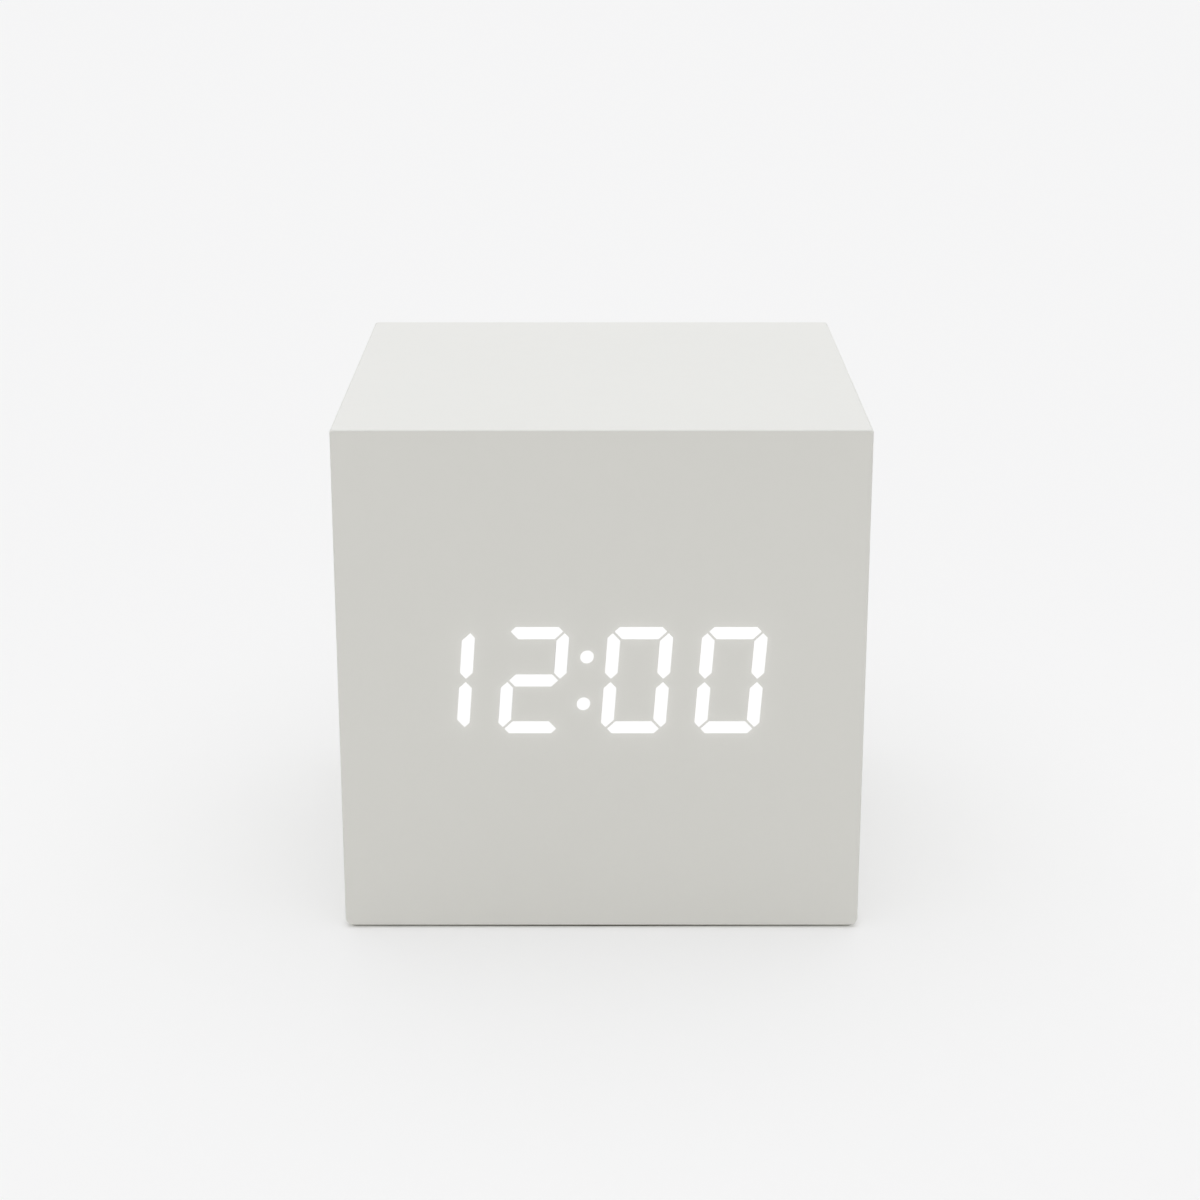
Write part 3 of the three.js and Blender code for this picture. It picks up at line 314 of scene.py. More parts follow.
def softened(thing, width, group):
    """Rounds the sharp edges of a CAD node by modifiers alone."""
    weld = thing.modifiers.new("weld", "WELD")
    weld.merge_threshold = WELD
    plane = thing.modifiers.new("plane", "DECIMATE")
    plane.decimate_type = "DISSOLVE"
    plane.angle_limit = FLAT_ANGLE
    if width:
        bevel = thing.modifiers.new("bevel", "BEVEL")
        bevel.width = width
        bevel.segments = BEVEL_SEGMENTS
        bevel.limit_method = "ANGLE"
        bevel.angle_limit = EDGE_ANGLE
        bevel.use_clamp_overlap = True
    smooth = thing.modifiers.new("smooth", "NODES")
    smooth.node_group = group
    weigh_normals(thing)


# Materials


def blended(tree, share, *colours):
    """A mix of two colours, each written as a colour or taken from a socket."""
    node = tree.nodes.new("ShaderNodeMix")
    node.data_type = "RGBA"
    tree.links.new(share, node.inputs["Factor"])
    sockets = [socket for socket in node.inputs if socket.type == "RGBA"]
    for socket, colour in zip(sockets, colours):
        if isinstance(colour, bpy.types.NodeSocket):
            tree.links.new(colour, socket)
        else:
            socket.default_value = (*colour, 1)
    return [socket for socket in node.outputs if socket.type == "RGBA"][0]


def shade(colour, factor):
    """A colour made darker or lighter."""
    return tuple(min(1, part * factor) for part in colour)


class Finish:
    """A material made of texture nodes that follow the object's own coordinates."""

    def __init__(self, name, roughness, metallic=0.0):
        self.material = bpy.data.materials.new(name)
        self.material.use_nodes = True
        self.tree = self.material.node_tree
        self.shader = self.tree.nodes["Principled BSDF"]
        self.shader.inputs["Roughness"].default_value = roughness
        self.shader.inputs["Metallic"].default_value = metallic
        self.place = self.add("ShaderNodeTexCoord").outputs["Object"]

    def add(self, kind, **settings):
        node = self.tree.nodes.new(kind)
        for name, value in settings.items():
            setattr(node, name, value)
        return node

    def feed(self, socket, value):
        """Gives a socket a plain value, or links it to another socket."""
        if isinstance(value, bpy.types.NodeSocket):
            self.tree.links.new(value, socket)
        else:
            socket.default_value = value

    def noise(self, scale, detail=2, place=None):
        node = self.add("ShaderNodeTexNoise")
        self.feed(node.inputs["Vector"], place or self.place)
        node.inputs["Scale"].default_value = scale
        node.inputs["Detail"].default_value = detail
        return node.outputs["Fac"]

    def stretched(self, scales):
        """The object's coordinates, scaled along each axis. A small scale draws a texture out."""
        node = self.add("ShaderNodeMapping")
        self.feed(node.inputs["Vector"], self.place)
        node.inputs["Scale"].default_value = scales
        return node.outputs["Vector"]

    def axis(self, name):
        node = self.add("ShaderNodeSeparateXYZ")
        self.feed(node.inputs["Vector"], self.place)
        return node.outputs[name]

    def math(self, operation, *values):
        node = self.add("ShaderNodeMath", operation=operation)
        for socket, value in zip(node.inputs, values):
            self.feed(socket, value)
        return node.outputs["Value"]

    def between(self, value, low, high):
        """Brings a value from 0 to 1 into the range from low to high."""
        node = self.add("ShaderNodeMapRange")
        self.feed(node.inputs["Value"], value)
        node.inputs["To Min"].default_value = low
        node.inputs["To Max"].default_value = high
        return node.outputs["Result"]

    def mixed(self, share, first, second):
        return blended(self.tree, share, first, second)

    def bump(self, height, depth, below=None):
        """A normal that raises the surface by a height, over a coarser bump if one is given."""
        node = self.add("ShaderNodeBump")
        self.feed(node.inputs["Height"], height)
        node.inputs["Distance"].default_value = depth
        if below:
            self.feed(node.inputs["Normal"], below)
        return node.outputs["Normal"]

    def coloured(self, value):
        self.feed(self.shader.inputs["Base Color"], value)

    def varied(self, share, colour, low, high):
        """Colours it between a darker and a lighter shade of one colour."""
        self.coloured(self.mixed(share, shade(colour, low), shade(colour, high)))

    def rough(self, value):
        self.feed(self.shader.inputs["Roughness"], value)

    def shaped(self, normal):
        self.feed(self.shader.inputs["Normal"], normal)

    def glowing(self, level):
        self.shader.inputs["Emission Color"].default_value = (1, 1, 1, 1)
        self.feed(self.shader.inputs["Emission Strength"], level)


def paint(name, glows=False):
    """Satin off-white paint with a faint orange peel, and with the digits' glow if it glows."""
    finish = Finish(name, roughness=0.5)
    speck_share = 0.3
    cloud = finish.math("MULTIPLY", finish.noise(scale=26, detail=3), 1 - speck_share)
    speck = finish.math("MULTIPLY", finish.noise(scale=1500), speck_share)
    mix = finish.math("ADD", cloud, speck)
    finish.varied(mix, colour=(0.79, 0.79, 0.762), low=0.985, high=1.015)
    finish.rough(finish.between(finish.noise(scale=340, detail=3), low=0.44, high=0.56))
    peel = finish.bump(finish.noise(scale=420), depth=0.012 * MM)
    finish.shaped(finish.bump(finish.noise(scale=2600), depth=0.003 * MM, below=peel))
    if glows:
        finish.glowing(finish.add("ShaderNodeAttribute", attribute_name="glow").outputs["Fac"])
    return finish.material


def plastic(name, colour, roughness, grain=2200, depth=0.006 * MM, variation=0.03):
    """Moulded plastic with a fine spark-eroded texture."""
    finish = Finish(name, roughness)
    spread = 0.06
    finish.varied(finish.noise(scale=60, detail=3), colour, low=1 - variation, high=1 + variation)
    finish.rough(finish.between(finish.noise(scale=grain / 3),
                                low=roughness - spread, high=roughness + spread))
    finish.shaped(finish.bump(finish.noise(grain, detail=3), depth))
    return finish.material


def metal(name, colour, roughness, streak=(1, 1, 1)):
    """Plated metal with fine scratches along one direction."""
    finish = Finish(name, roughness, metallic=1.0)
    polish = 0.08
    scuff = 0.12
    scratch = finish.noise(scale=900, detail=4, place=finish.stretched(streak))
    finish.varied(scratch, colour, low=0.9, high=1.06)
    finish.rough(finish.between(scratch, low=roughness - polish, high=roughness + scuff))
    finish.shaped(finish.bump(scratch, depth=0.003 * MM))
    return finish.material


def lit_plastic(front):
    """Clear guides that light up where they reach the face."""
    finish = Finish("lit_plastic", roughness=0.35)
    cloud = finish.mixed(finish.noise(scale=300), (0.88, 0.88, 0.88), (0.94, 0.94, 0.94))
    lit = finish.math("LESS_THAN", finish.axis("Y"), front + LIT_DEPTH)
    finish.coloured(finish.mixed(lit, cloud, LIT_BASE))
    finish.glowing(finish.math("MULTIPLY", lit, DIGIT_LEVEL))
    return finish.material


def circuit_board():
    """Green solder mask over copper tracks."""
    finish = Finish("circuit_board", roughness=0.4)
    bare_share = 0.5
    track = finish.add("ShaderNodeTexBrick", offset=0.35, squash=0.7)
    finish.feed(track.inputs["Vector"], finish.place)
    track.inputs["Scale"].default_value = 160
    track.inputs["Mortar Size"].default_value = 0.09
    cover = finish.math("GREATER_THAN", finish.noise(scale=70, detail=1), bare_share)
    lines = finish.math("MULTIPLY", track.outputs["Fac"], cover)
    finish.coloured(finish.mixed(lines, (0.012, 0.085, 0.035), (0.03, 0.16, 0.07)))
    finish.shaped(finish.bump(lines, depth=0.02 * MM))
    return finish.material


def fibreboard():
    """Bare fibreboard: short pale and brown fibres."""
    finish = Finish("bare_fibreboard", roughness=0.85)
    fibre = finish.noise(scale=900, detail=5, place=finish.stretched(scales=(1, 0.4, 1)))
    finish.coloured(finish.mixed(fibre, (0.30, 0.19, 0.10), (0.66, 0.50, 0.31)))
    finish.shaped(finish.bump(fibre, depth=0.03 * MM))
    return finish.material


def ribbon():
    """Grey ribbon cable with a ridge for each conductor, painted darker in the grooves between them
    as shade.
    """
    finish = Finish("ribbon", roughness=0.55)
    ridge = finish.math("PINGPONG", finish.axis("X"), RIBBON_PITCH / 2)
    height = finish.math("MULTIPLY", ridge, 1 / RIBBON_PITCH)
    # Painted shade: the grooves are coloured darker than the ridges
    finish.coloured(finish.mixed(height, (0.22, 0.23, 0.25), (0.42, 0.43, 0.45)))
    finish.shaped(finish.bump(height, depth=0.2 * MM))
    return finish.material


def rubber():
    """Black rubber with a dull, slightly dusty surface."""
    finish = Finish("foot_rubber", roughness=0.85)
    dust = finish.noise(scale=700, detail=4)
    finish.coloured(finish.mixed(dust, (0.018, 0.018, 0.018), (0.05, 0.05, 0.048)))
    finish.rough(finish.between(dust, low=0.75, high=0.95))
    finish.shaped(finish.bump(finish.noise(scale=1600, detail=3), depth=0.02 * MM))
    return finish.material


def foil(name, colour):
    """The printed foil round a cell, with its faint lengthwise rolling lines."""
    finish = Finish(name, roughness=0.32, metallic=0.35)
    lines = finish.noise(scale=500, detail=3, place=finish.stretched(scales=(0.05, 1, 1)))
    finish.varied(lines, colour, low=0.85, high=1.15)
    finish.rough(finish.between(finish.noise(scale=200, detail=3), low=0.26, high=0.4))
    finish.shaped(finish.bump(lines, depth=0.004 * MM))
    return finish.material


def socket_metal(node):
    """The inlet's plated shell, with the black tongue and back in it."""
    low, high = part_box(node)
    middle = (low + high) / 2
    finish = Finish("socket_metal", roughness=0.3, metallic=1.0)
    across = finish.math("ABSOLUTE", finish.math("SUBTRACT", finish.axis("X"), middle.x))
    up = finish.math("ABSOLUTE", finish.math("SUBTRACT", finish.axis("Z"), middle.z + TONGUE_RISE))
    tongue = finish.math("MULTIPLY", finish.math("LESS_THAN", across, TONGUE_HALF_WIDTH),
                         finish.math("LESS_THAN", up, TONGUE_HALF_THICKNESS))
    back = finish.math("LESS_THAN", finish.axis("Y"), low.y + INLET_BACK)
    inside = finish.math("MAXIMUM", tongue, back)
    plated = finish.mixed(finish.noise(scale=800, detail=3), (0.55, 0.55, 0.54), (0.68, 0.68, 0.67))
    finish.coloured(finish.mixed(inside, plated, (0.02, 0.02, 0.022)))
    finish.feed(finish.shader.inputs["Metallic"], finish.math("SUBTRACT", 1.0, inside))
    finish.rough(finish.between(inside, low=0.28, high=0.5))
    return finish.material


# Front


def width_of(loop):
    return max(vertex.co.x for vertex in loop) - min(vertex.co.x for vertex in loop)


def boundary_loops(body, faces):
    """The closed loops of vertices round a set of faces, the widest first."""
    inside = set(faces)
    edges = [edge for edge in body.edges if sum(face in inside for face in edge.link_faces) == 1]
    links = {}
    for edge in edges:
        for vertex in edge.verts:
            links.setdefault(vertex, []).append(edge.other_vert(vertex))
    loops = []
    seen = set()
    for start in links:
        if start in seen:
            continue
        loop = [start]
        seen.add(start)
        while True:
            ahead = [vertex for vertex in links[loop[-1]] if vertex not in seen]
            if not ahead:
                break
            loop.append(ahead[0])
            seen.add(ahead[0])
        loops.append(loop)
    return sorted(loops, key=width_of, reverse=True)


def inside_loop(points, loop):
    """Which of the points lie in a closed loop, by counting crossings."""
    result = np.zeros(len(points), bool)
    for (x1, z1), (x2, z2) in zip(loop, np.roll(loop, -1, axis=0)):
        crosses = (z1 > points[:, 1]) != (z2 > points[:, 1])
        if z1 != z2:
            at = x1 + (points[:, 1] - z1) / (z2 - z1) * (x2 - x1)
            result ^= crosses & (points[:, 0] < at)
    return result


def inside_skin(points, outer, windows):
    """Which of the points lie in the outer loop and in none of the windows."""
    result = inside_loop(points, outer)
    for loop in windows:
        result &= ~inside_loop(points, loop)
    return result


def distance_to_loop(points, loop):
    """The distance of each point from the nearest edge of a closed loop."""
    nearest = np.full(len(points), np.inf)
    for start, end in zip(loop, np.roll(loop, -1, axis=0)):
        step = end - start
        share = np.clip(((points - start) @ step) / max(step @ step, WELD * WELD), 0, 1)
        gap = np.linalg.norm(points - start - share[:, None] * step, axis=1)
        nearest = np.minimum(nearest, gap)
    return nearest


def skin_body():
    """The front skin's own mesh, with the corners that its faces share joined."""
    body = bmesh.new()
    skin = nodes["front_skin"].data.copy()
    skin.attributes.remove(skin.attributes["custom_normal"])
    body.from_mesh(skin)
    bpy.data.meshes.remove(skin)
    bmesh.ops.remove_doubles(body, verts=body.verts, dist=WELD)
    return body


def glow_grid(outer, windows):
    """Points round the windows for the glow, clear of every edge of the face."""
    low = np.min([loop.min(axis=0) for loop in windows], axis=0) - GLOW_MARGIN
    high = np.max([loop.max(axis=0) for loop in windows], axis=0) + GLOW_MARGIN
    grid = np.array([(x, z) for x in np.arange(low[0], high[0], GLOW_GRID)
                     for z in np.arange(low[1], high[1], GLOW_GRID)])
    gap = np.min([distance_to_loop(grid, loop) for loop in (outer, *windows)], axis=0)
    return grid[(gap > GLOW_CLEARANCE) & inside_skin(grid, outer, windows)]


def refine(body, faces, loops, flat, front):
    """Replaces the front's faces by small triangles between its edges and the glow's points."""
    outer, windows = flat[0], flat[1:]
    corners = [vertex for loop in loops for vertex in loop]
    edges = []
    first = 0
    for loop in loops:
        count = len(loop)
        edges += [(first + step, first + (step + 1) % count) for step in range(count)]
        first += count
    points = [Vector((vertex.co.x, vertex.co.z)) / MM for vertex in corners]
    points += [Vector((float(x), float(z))) / MM for x, z in glow_grid(outer, windows)]
    spots, _, triangles, origins, _, _ = delaunay_2d_cdt(points, edges, [], 0, WELD / MM)
    middles = np.array([np.mean([tuple(spots[index]) for index in triangle], axis=0)
                        for triangle in triangles]) * MM
    wanted = inside_skin(middles, outer, windows)

    bmesh.ops.delete(body, geom=faces, context="FACES_ONLY")
    vertices = []
    for spot, origin in zip(spots, origins):
        known = [index for index in origin if index < len(corners)]
        vertices.append(corners[known[0]] if known
                        else body.verts.new((spot.x * MM, front, spot.y * MM)))
    for triangle, want in zip(triangles, wanted):
        if want:
            body.faces.new([vertices[index] for index in triangle])
    bare = [edge for edge in body.edges if not edge.link_faces]
    bmesh.ops.delete(body, geom=bare, context="EDGES")


def front_face(material):
    """The front skin again, with a fine mesh round its windows that carries the digits' glow."""
    body = skin_body()
    front = min(vertex.co.y for vertex in body.verts)
    faces = [face for face in body.faces
             if max(vertex.co.y for vertex in face.verts) < front + WELD]
    loops = boundary_loops(body, faces)
    flat = [np.array([(vertex.co.x, vertex.co.z) for vertex in loop]) for loop in loops]
    refine(body, faces, loops, flat, front)

    face = made("front_face", body)
    places = np.array([vertex.co for vertex in face.data.vertices])
    gap = np.min([distance_to_loop(places[:, [0, 2]], loop) for loop in flat[1:]], axis=0)
    glow = GLOW_NEAR * np.exp(-gap / GLOW_NEAR_REACH) + GLOW_FAR * np.exp(-gap / GLOW_FAR_REACH)
    glow[places[:, 1] > front + WELD] = 0
    attribute = face.data.attributes.new("glow", "FLOAT", "POINT")
    attribute.data.foreach_set("value", glow.astype(np.float32))
    weigh_normals(face)
    placed(face, [material], CASE, "case_paint", "front_skin")


# Back


def recess_arm(place, head, top):
    """One bar of a screw's cross recess, narrower towards its floor."""
    half = head * RECESS_WIDTH
    thin = head * RECESS_THICKNESS
    body = bmesh.new()
    rings = []
    for height, taper in ((top + thin, 1), (top - head * RECESS_DEPTH, RECESS_TAPER)):
        end = half * taper
        corners = [(end, thin), (-end, thin), (-end, -thin), (end, -thin)]
        rings.append([body.verts.new(place @ Vector((x, height, z))) for x, z in corners])
        body.faces.new(rings[-1])
    walled(body, *rings)
    return made("recess", body)


def screw(node, materials):
    """A pan-head screw with its cross recess in dark steel, as painted shade with some grime, in
    place of the plain one.
    """
    low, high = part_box(node)
    middle = (low + high) / 2
    head = (high.x - low.x) / 2
    length = high.y - low.y
    rise = head * HEAD_RISE
    shank = head * SHANK
    under = length - rise
    bend = rise / 2
    place = Matrix.Translation((middle.x, low.y, middle.z))
    steel, dark = 0, 1
    profile = [
        (steel, [(0, 0), (shank * SHANK_TIP, 0), (shank, shank), (shank, under), (head, under)]),
        (steel, [(head, length - bend)]),
        (steel, arc((head - bend, length - bend), bend, 0, HEAD_ROUNDING_END)),
        (steel, [(head * HEAD_FLAT, length), (0, length)]),
    ]
    body = made(f"{node}_head", turned(profile, place))
    turn = int(node.rsplit("_", 1)[1]) * SCREW_TURN
    for angle in (turn, turn + math.pi / 2):
        carved(body, recess_arm(place @ Matrix.Rotation(angle, 4, "Y"), head, length))
    # The faces in the cross recess take the dark steel: painted shade, with some grime
    for face in body.data.polygons:
        spot = place.inverted() @ face.center
        within = math.hypot(spot.x, spot.z) < head * RECESS_WIDTH
        if within and under < spot.y < length - WELD:
            face.material_index = dark
    placed(body, materials, CASE, "steel", node)


def button(node, body_name, material):
    """A round cap with a soft edge and a dished top."""
    low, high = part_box(node)
    middle = (low + high) / 2
    flange = (high.x - low.x) / 2
    radius = flange - BUTTON_FLANGE_WIDTH
    top = high.y - low.y
    dish = radius - 2 * BUTTON_EDGE
    hollow = []
    for step in range(DISH_STEPS + 1):
        outward = 1 - step / DISH_STEPS
        hollow.append((dish * outward, top - BUTTON_DISH * (1 - outward ** 2)))
    profile = [(0, [(0, 0), (flange, 0), (flange, BUTTON_FLANGE_HEIGHT)]),
               (0, [(radius, BUTTON_FLANGE_HEIGHT)]),
               (0, arc((radius - BUTTON_EDGE, top - BUTTON_EDGE), BUTTON_EDGE, 0, 90)),
               (0, hollow)]
    place = Matrix.Translation((middle.x, low.y, middle.z))
    cap = made(f"{node}_cap", turned(profile, place))
    placed(cap, [material], body_name, "button_plastic", node)


def circle(radius, sides=MARK_SIDES):
    angles = [step / sides * 2 * math.pi for step in range(sides)]
    return [(math.cos(angle) * radius, math.sin(angle) * radius) for angle in angles]


def rectangle(x, z):
    return [(x[0], z[0]), (x[1], z[0]), (x[1], z[1]), (x[0], z[1])]


def ring(radius, line, depths, place):
    """A flat ring: an outline with a round hole."""
    body = bmesh.new()
    levels = [[[body.verts.new(place @ Vector((x, depth, z))) for x, z in circle(size)]
               for size in (radius, radius - line)]
              for depth in depths]
    for outer, inner in levels:
        walled(body, outer, inner)
    for near, far in zip(*levels):
        walled(body, near, far)
    return body


def bell(half):
    """The outline of a bell seen from the side."""
    dome = []
    for angle in map(math.radians, DOME_ANGLES):
        dome.append((math.cos(angle) * half * DOME_RADIUS,
                     half * DOME_RISE + math.sin(angle) * half * DOME_RADIUS))
    return dome + [(half * x, half * z) for x, z in BELL_RIM]


def above(node, rise):
    """The place of a mark over the middle of a control."""
    low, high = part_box(node)
    middle = (low + high) / 2
    return Matrix.Translation((middle.x, 0, middle.z + rise))


def panel_marks(material):
    """Small printed symbols beside the controls: arrows, a dial, a bell and a current sign."""
    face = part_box("rear_panel")[1].y
    depths = (face, face + MARK_HEIGHT)
    half = MARK_SIZE / 2
    line = MARK_LINE / 2

    arrow = [(-half, -half * ARROW_FOOT), (half, -half * ARROW_FOOT), (0, half)]
    up = prism(arrow, depths, above("up_button", MARK_RISE))
    down = prism([(x, -z) for x, z in arrow], depths, above("down_button", MARK_RISE))

    dial_place = above("set_button", MARK_RISE)
    dial = ring(half, MARK_LINE, depths, dial_place)
    long_hand = prism(rectangle((-line, line), (-line, half * LONG_HAND)), depths, dial_place)
    short_hand = prism(rectangle((line * SHORT_HAND_START, half * SHORT_HAND), (-line, line)),
                       depths, dial_place)

    bell_place = above("alarm_switch_housing", LOW_MARK_RISE)
    dome = prism(bell(half), depths, bell_place)
    clapper = [(x, z - half * CLAPPER_DROP)
               for x, z in circle(half * CLAPPER_RADIUS, CLAPPER_SIDES)]

    power_place = above("power_inlet", LOW_MARK_RISE)
    bar = rectangle((-half, half), [line * share for share in BAR_SPAN])
    current = [prism(bar, depths, power_place)]
    for start in DASH_STARTS:
        dash = rectangle((half * start, half * start + half * DASH_LENGTH),
                         [line * share for share in DASH_SPAN])
        current.append(prism(dash, depths, power_place))

    marks = {"up_mark": [up], "down_mark": [down], "set_mark": [dial, long_hand, short_hand],
             "alarm_mark": [dome, prism(clapper, depths, bell_place)], "power_mark": current}
    for name, bodies in marks.items():
        placed(made(name, joined(bodies)), [material], CASE, "black_plastic")


# Battery bay


def cell(node, materials):
    """A cell: steel ends, a wrap folded over them, and a band at its positive end."""
    low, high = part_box(node)
    middle = (low + high) / 2
    length = high.x - low.x
    radius = (high.z - low.z) / 2
    forward = 1 if int(node.rsplit("_", 1)[1]) % 2 else -1
    start = low.x if forward > 0 else high.x
    place = (Matrix.Translation((start, middle.y, middle.z))
             @ Matrix.Rotation(-forward * math.pi / 2, 4, "Z"))
    shoulder = length - NUB_LENGTH
    band = shoulder * (1 - CELL_BAND)
    base = radius * CELL_BASE
    lip = radius - CELL_LIP_WIDTH
    bend = radius - CELL_LIP
    steel, wrap, stripe = 0, 1, 2
    profile = [
        (steel, [(0, CELL_BASE_RECESS), (base - CELL_BASE_EDGE, CELL_BASE_RECESS)]),
        (steel, [(base, 0), (base, CELL_LIP)]),
        (wrap, [(lip, CELL_LIP), (bend, CELL_LIP)]),
        (wrap, arc((bend, 2 * CELL_LIP), CELL_LIP, -90, 0, CELL_LIP_STEPS)),
        (wrap, [(radius, band)]),
        (stripe, [(radius, shoulder - 2 * CELL_LIP)]),
        (stripe, arc((bend, shoulder - CELL_LIP), CELL_LIP, 0, 90, CELL_LIP_STEPS)),
        (stripe, [(lip, shoulder), (lip, shoulder - CELL_LIP)]),
        (steel, [(NUB_RADIUS + NUB_FOOT, shoulder - CELL_LIP), (NUB_RADIUS, shoulder)]),
        (steel, [(NUB_RADIUS, length - CELL_LIP)]),
        (steel, arc((NUB_RADIUS - CELL_LIP, length - CELL_LIP), CELL_LIP, 0, 90, NUB_STEPS)),
        (steel, [(0, length)]),
    ]
    placed(made(f"{node}_cell", turned(profile, place)), materials, CASE, "cell_wrap", node)


def door_arrow(material):
    """A raised arrow on the battery door, beside the latch's grooves."""
    low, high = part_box("battery_door")
    place = (Matrix.Translation(((low.x + high.x) / 2, high.y - DOOR_ARROW_INSET, low.z))
             @ Matrix.Rotation(math.pi / 2, 4, "X"))
    half = MARK_SIZE
    slope = half * DOOR_ARROW_SLOPE
    arrow = prism([(-half, slope), (half, slope), (0, -slope)], (0, DOOR_ARROW_RELIEF), place)
    placed(made("door_arrow", arrow), [material], "battery_cover", "black_plastic")


# Studio


def seen_directly(tree):
    """1 for rays from the camera and for what they reflect or pass through."""
    path = tree.nodes.new("ShaderNodeLightPath")
    total = path.outputs["Is Camera Ray"]
    for name in ("Is Glossy Ray", "Is Transmission Ray"):
        more = tree.nodes.new("ShaderNodeMath")
        more.operation = "MAXIMUM"
        tree.links.new(total, more.inputs[0])
        tree.links.new(path.outputs[name], more.inputs[1])
        total = more.outputs["Value"]
    return total


def painted_shadow_share(finish, beside, ahead, reach):
    """How much shadow is painted on the floor under the clock: none at the rim, and less near the
    corners.
    """
    squares = []
    for gap in (beside, ahead):
        past = finish.math("ADD", gap, PAINTED_SHADOW_INSET + PAINTED_SHADOW_ROUNDING)
        past = finish.math("MAXIMUM", past, 0)
        squares.append(finish.math("MULTIPLY", past, past))
    inside = finish.math("LESS_THAN", finish.math("ADD", *squares), PAINTED_SHADOW_ROUNDING ** 2)
    inward = finish.math("DIVIDE", finish.math("MINIMUM", beside, ahead), -reach)
    return finish.math("MULTIPLY", inside, finish.between(inward, PAINTED_SHADOW_AT_CORNER, 1))


def floor(corner):
    """A pale floor that keeps the shadow, and that is clear to the eye and the lamp below it.

    It has a shadow painted under what stands on it. Beside that, some of the white that is seen is
    its own."""
    finish = Finish("studio_floor", roughness=1.0)
    finish.shader.inputs["Specular IOR Level"].default_value = 0
    seen = seen_directly(finish.tree)
    beside = finish.math("SUBTRACT", finish.math("ABSOLUTE", finish.axis("X")), corner.x)
    ahead = finish.math("SUBTRACT", finish.math("ABSOLUTE", finish.axis("Y")), corner.y)
    away = finish.math("DIVIDE", finish.math("MAXIMUM", beside, ahead), FLOOR_EDGE)
    near = finish.math("MINIMUM", finish.math("MAXIMUM", away, 0), FLOOR_LIFT)
    lift = finish.math("MULTIPLY", seen, near)
    plain = finish.mixed(seen, FLOOR_BOUNCE, SEEN_BACKDROP)
    # A painted shadow: the floor under the clock is coloured dark
    with_painted_shadow = finish.mixed(painted_shadow_share(finish, beside, ahead, corner.x), plain, FLOOR_PAINTED_SHADOW)
    finish.coloured(finish.mixed(lift, with_painted_shadow, (0, 0, 0)))
    finish.shader.inputs["Emission Color"].default_value = (*SEEN_BACKDROP, 1)
    finish.feed(finish.shader.inputs["Emission Strength"], lift)
    behind = finish.add("ShaderNodeNewGeometry").outputs["Backfacing"]
    shadow = finish.add("ShaderNodeLightPath").outputs["Is Shadow Ray"]
    clear = finish.math("MAXIMUM", behind, shadow)
    finish.feed(finish.shader.inputs["Alpha"], finish.math("SUBTRACT", 1.0, clear))

    ground = bmesh.new()
    bmesh.ops.create_circle(ground, cap_ends=True, segments=FLOOR_SIDES, radius=FLOOR_RADIUS)
    mesh = bpy.data.meshes.new("studio_floor")
    ground.to_mesh(mesh)
    ground.free()
    mesh.materials.append(finish.material)
    thing = bpy.data.objects.new("studio_floor", mesh)
    bpy.context.scene.collection.objects.link(thing)


def sky():
    """Soft light that is weaker from the left and right, so that the sides stand out."""
    world = bpy.data.worlds.new("studio")
    world.use_nodes = True
    tree = world.node_tree
    way = tree.nodes.new("ShaderNodeTexCoord").outputs["Generated"]
    apart = tree.nodes.new("ShaderNodeSeparateXYZ")
    tree.links.new(way, apart.inputs["Vector"])
    square = tree.nodes.new("ShaderNodeMath")
    square.operation = "MULTIPLY"
    for socket in square.inputs[:2]:
        tree.links.new(apart.outputs["X"], socket)
    light = blended(tree, square.outputs["Value"], SKY_AHEAD, SKY_BESIDE)
    result = blended(tree, seen_directly(tree), light, SEEN_BACKDROP)
    tree.links.new(result, tree.nodes["Background"].inputs["Color"])
    bpy.context.scene.world = world


def lamp(name, level, spread, direction):
    """A far lamp. The wider its spread, the softer its shadows."""
    light = bpy.data.lights.new(name, "SUN")
    light.energy = level
    light.angle = spread
    thing = bpy.data.objects.new(name, light)
    thing.rotation_mode = "QUATERNION"
    thing.rotation_quaternion = Vector(direction).to_track_quat("-Z", "Y")
    bpy.context.scene.collection.objects.link(thing)


def camera():
    lens = bpy.data.cameras.new("camera")
    lens.lens = LENS
    lens.sensor_width = SENSOR
    lens.clip_start, lens.clip_end = CAMERA_REACH
    thing = bpy.data.objects.new("camera", lens)
    thing.location = CAMERA_PLACE
    thing.rotation_euler = (math.pi / 2 - CAMERA_PITCH, 0, 0)
    bpy.context.scene.collection.objects.link(thing)
    bpy.context.scene.camera = thing


bpy.context.scene.view_settings.view_transform = "Standard"
camera()
sky()
floor(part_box("case_shell")[1])
lamp("key", LAMP_LEVEL, LAMP_SPREAD, direction=(0, 0, -1))
lamp("lower", LOWER_LAMP_LEVEL, LOWER_LAMP_SPREAD, direction=(0, 0, 1))

case_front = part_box("front_skin")[0].y
case_paint = paint("case_paint_finish")
panel_plastic = plastic("panel_plastic_finish", (0.70, 0.695, 0.665), roughness=0.5,
                        grain=2400, depth=0.012 * MM)
cap_plastic = plastic("cap_plastic_finish", (0.36, 0.36, 0.35), roughness=0.42,
                      grain=2600, depth=0.005 * MM)
white_plastic = plastic("white_plastic_finish", (0.86, 0.86, 0.84), roughness=0.4)
black_plastic = plastic("black_plastic_finish", (0.022, 0.022, 0.024), roughness=0.45,
                        grain=2000, depth=0.01 * MM, variation=0.2)
mark_ink = plastic("mark_ink_finish", (0.10, 0.10, 0.10), roughness=0.5,
                   grain=3000, depth=0.002 * MM)
screw_steel = metal("screw_steel_finish", (0.56, 0.57, 0.58), roughness=0.3)
# Dark steel for the screws' cross recesses: painted shade, with some grime
recess_shade_and_grime = metal("recess_shade_and_grime_finish", (0.13, 0.13, 0.135), roughness=0.5)
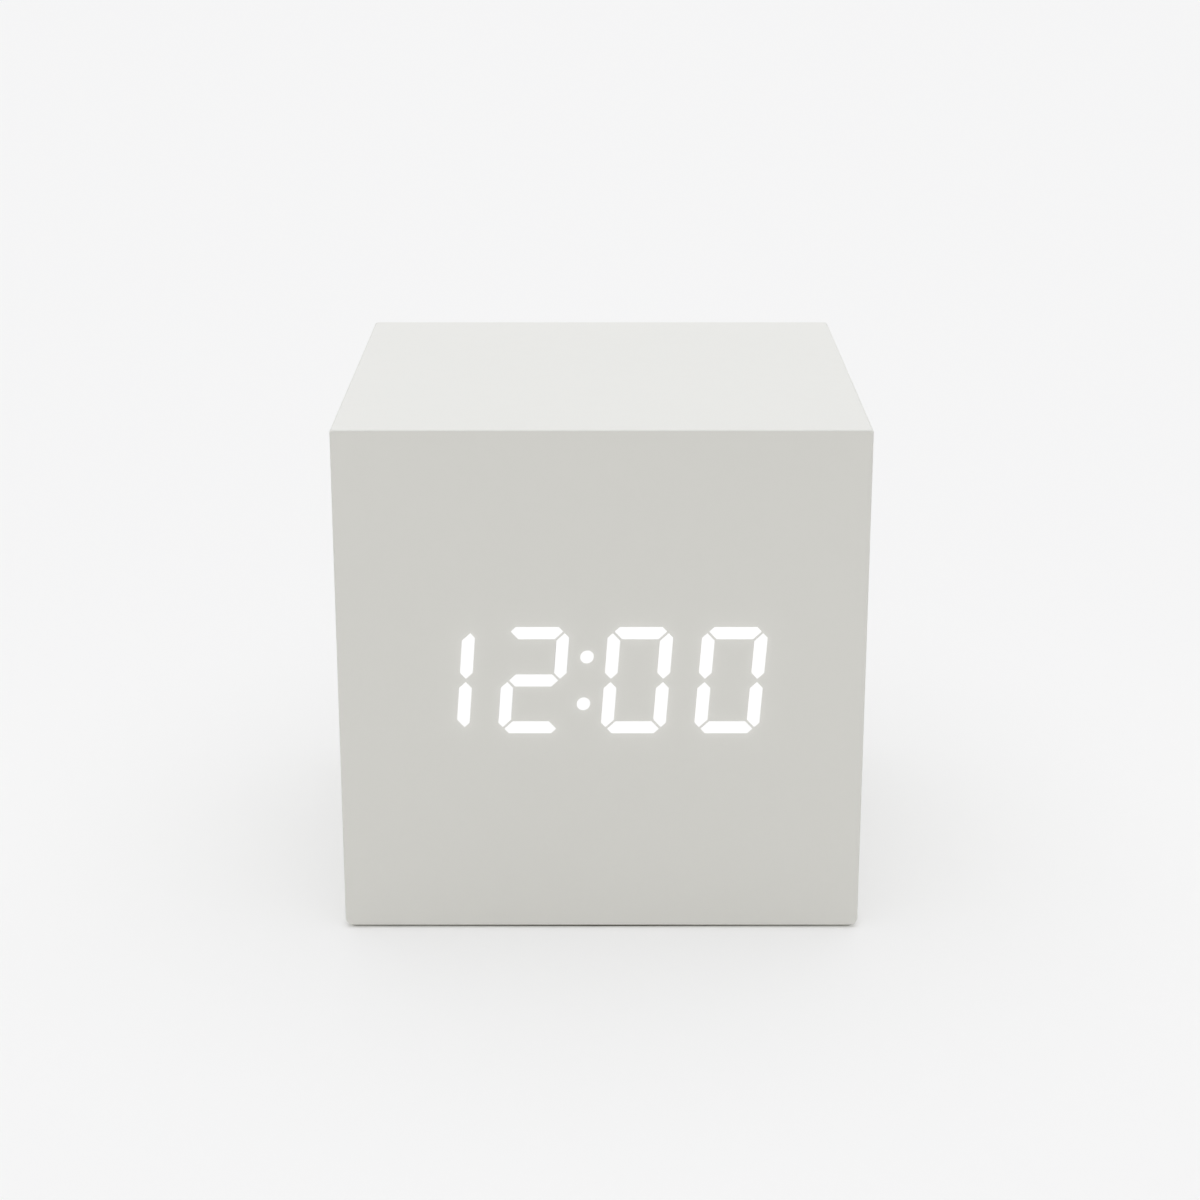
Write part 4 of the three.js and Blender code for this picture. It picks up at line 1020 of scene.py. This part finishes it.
sheet_steel = metal("sheet_steel_finish", (0.62, 0.62, 0.60), roughness=0.28, streak=(1, 0.1, 1))
cell_steel = metal("cell_steel_finish", (0.66, 0.66, 0.65), roughness=0.25)
red_wire = plastic("red_wire_finish", (0.45, 0.02, 0.015), roughness=0.4, grain=900)
black_wire = plastic("black_wire_finish", (0.02, 0.02, 0.02), roughness=0.4, grain=900)
cell_wrap = foil("cell_wrap_finish", (0.04, 0.17, 0.13))
cell_band = foil("cell_band_finish", (0.52, 0.53, 0.55))

# A node takes the longest name here that its own begins with, or else black plastic
finishes = {
    "case_shell": case_paint,
    "front_skin": case_paint,
    "foot": rubber(),
    "digit": lit_plastic(case_front),
    "colon": lit_plastic(case_front),
    "led": white_plastic,
    "display_board": circuit_board(),
    "display_board_screw": screw_steel,
    "display_connector": white_plastic,
    "control_connector": white_plastic,
    "display_ribbon": ribbon(),
    "rear_panel": panel_plastic,
    "rear_panel_screw": screw_steel,
    "corner_block": fibreboard(),
    "control_board": circuit_board(),
    "alarm_switch_housing": sheet_steel,
    "power_inlet": socket_metal("power_inlet"),
    "microphone": sheet_steel,
    "clock_crystal": sheet_steel,
    "battery_terminal": sheet_steel,
    "battery_bridge": sheet_steel,
    "battery_lead_positive": red_wire,
    "battery_lead_negative": black_wire,
}
edge_widths = {
    "rear_panel": 0.12 * MM,
    "battery_door": 0.12 * MM,
    "battery_tray": 0.1 * MM,
    "alarm_switch_knob": 0.1 * MM,
    "power_inlet": 0.05 * MM,
}

shading = smooth_group()
for node, thing in nodes.items():
    known = [name for name in finishes if node.startswith(name)]
    thing.data.materials[0] = finishes[max(known, key=len)] if known else black_plastic
    softened(thing, edge_widths.get(node, 0), shading)

front_face(paint("front_paint_finish", glows=True))
for number in NUMBERS:
    screw(f"rear_panel_screw_{number}", [screw_steel, recess_shade_and_grime])
    screw(f"display_board_screw_{number}", [screw_steel, recess_shade_and_grime])
    cell(f"battery_{number}", [cell_steel, cell_wrap, cell_band])
for name in ("up", "down", "set"):
    button(f"{name}_button", f"{name}_key", cap_plastic)
panel_marks(mark_ink)
door_arrow(black_plastic)
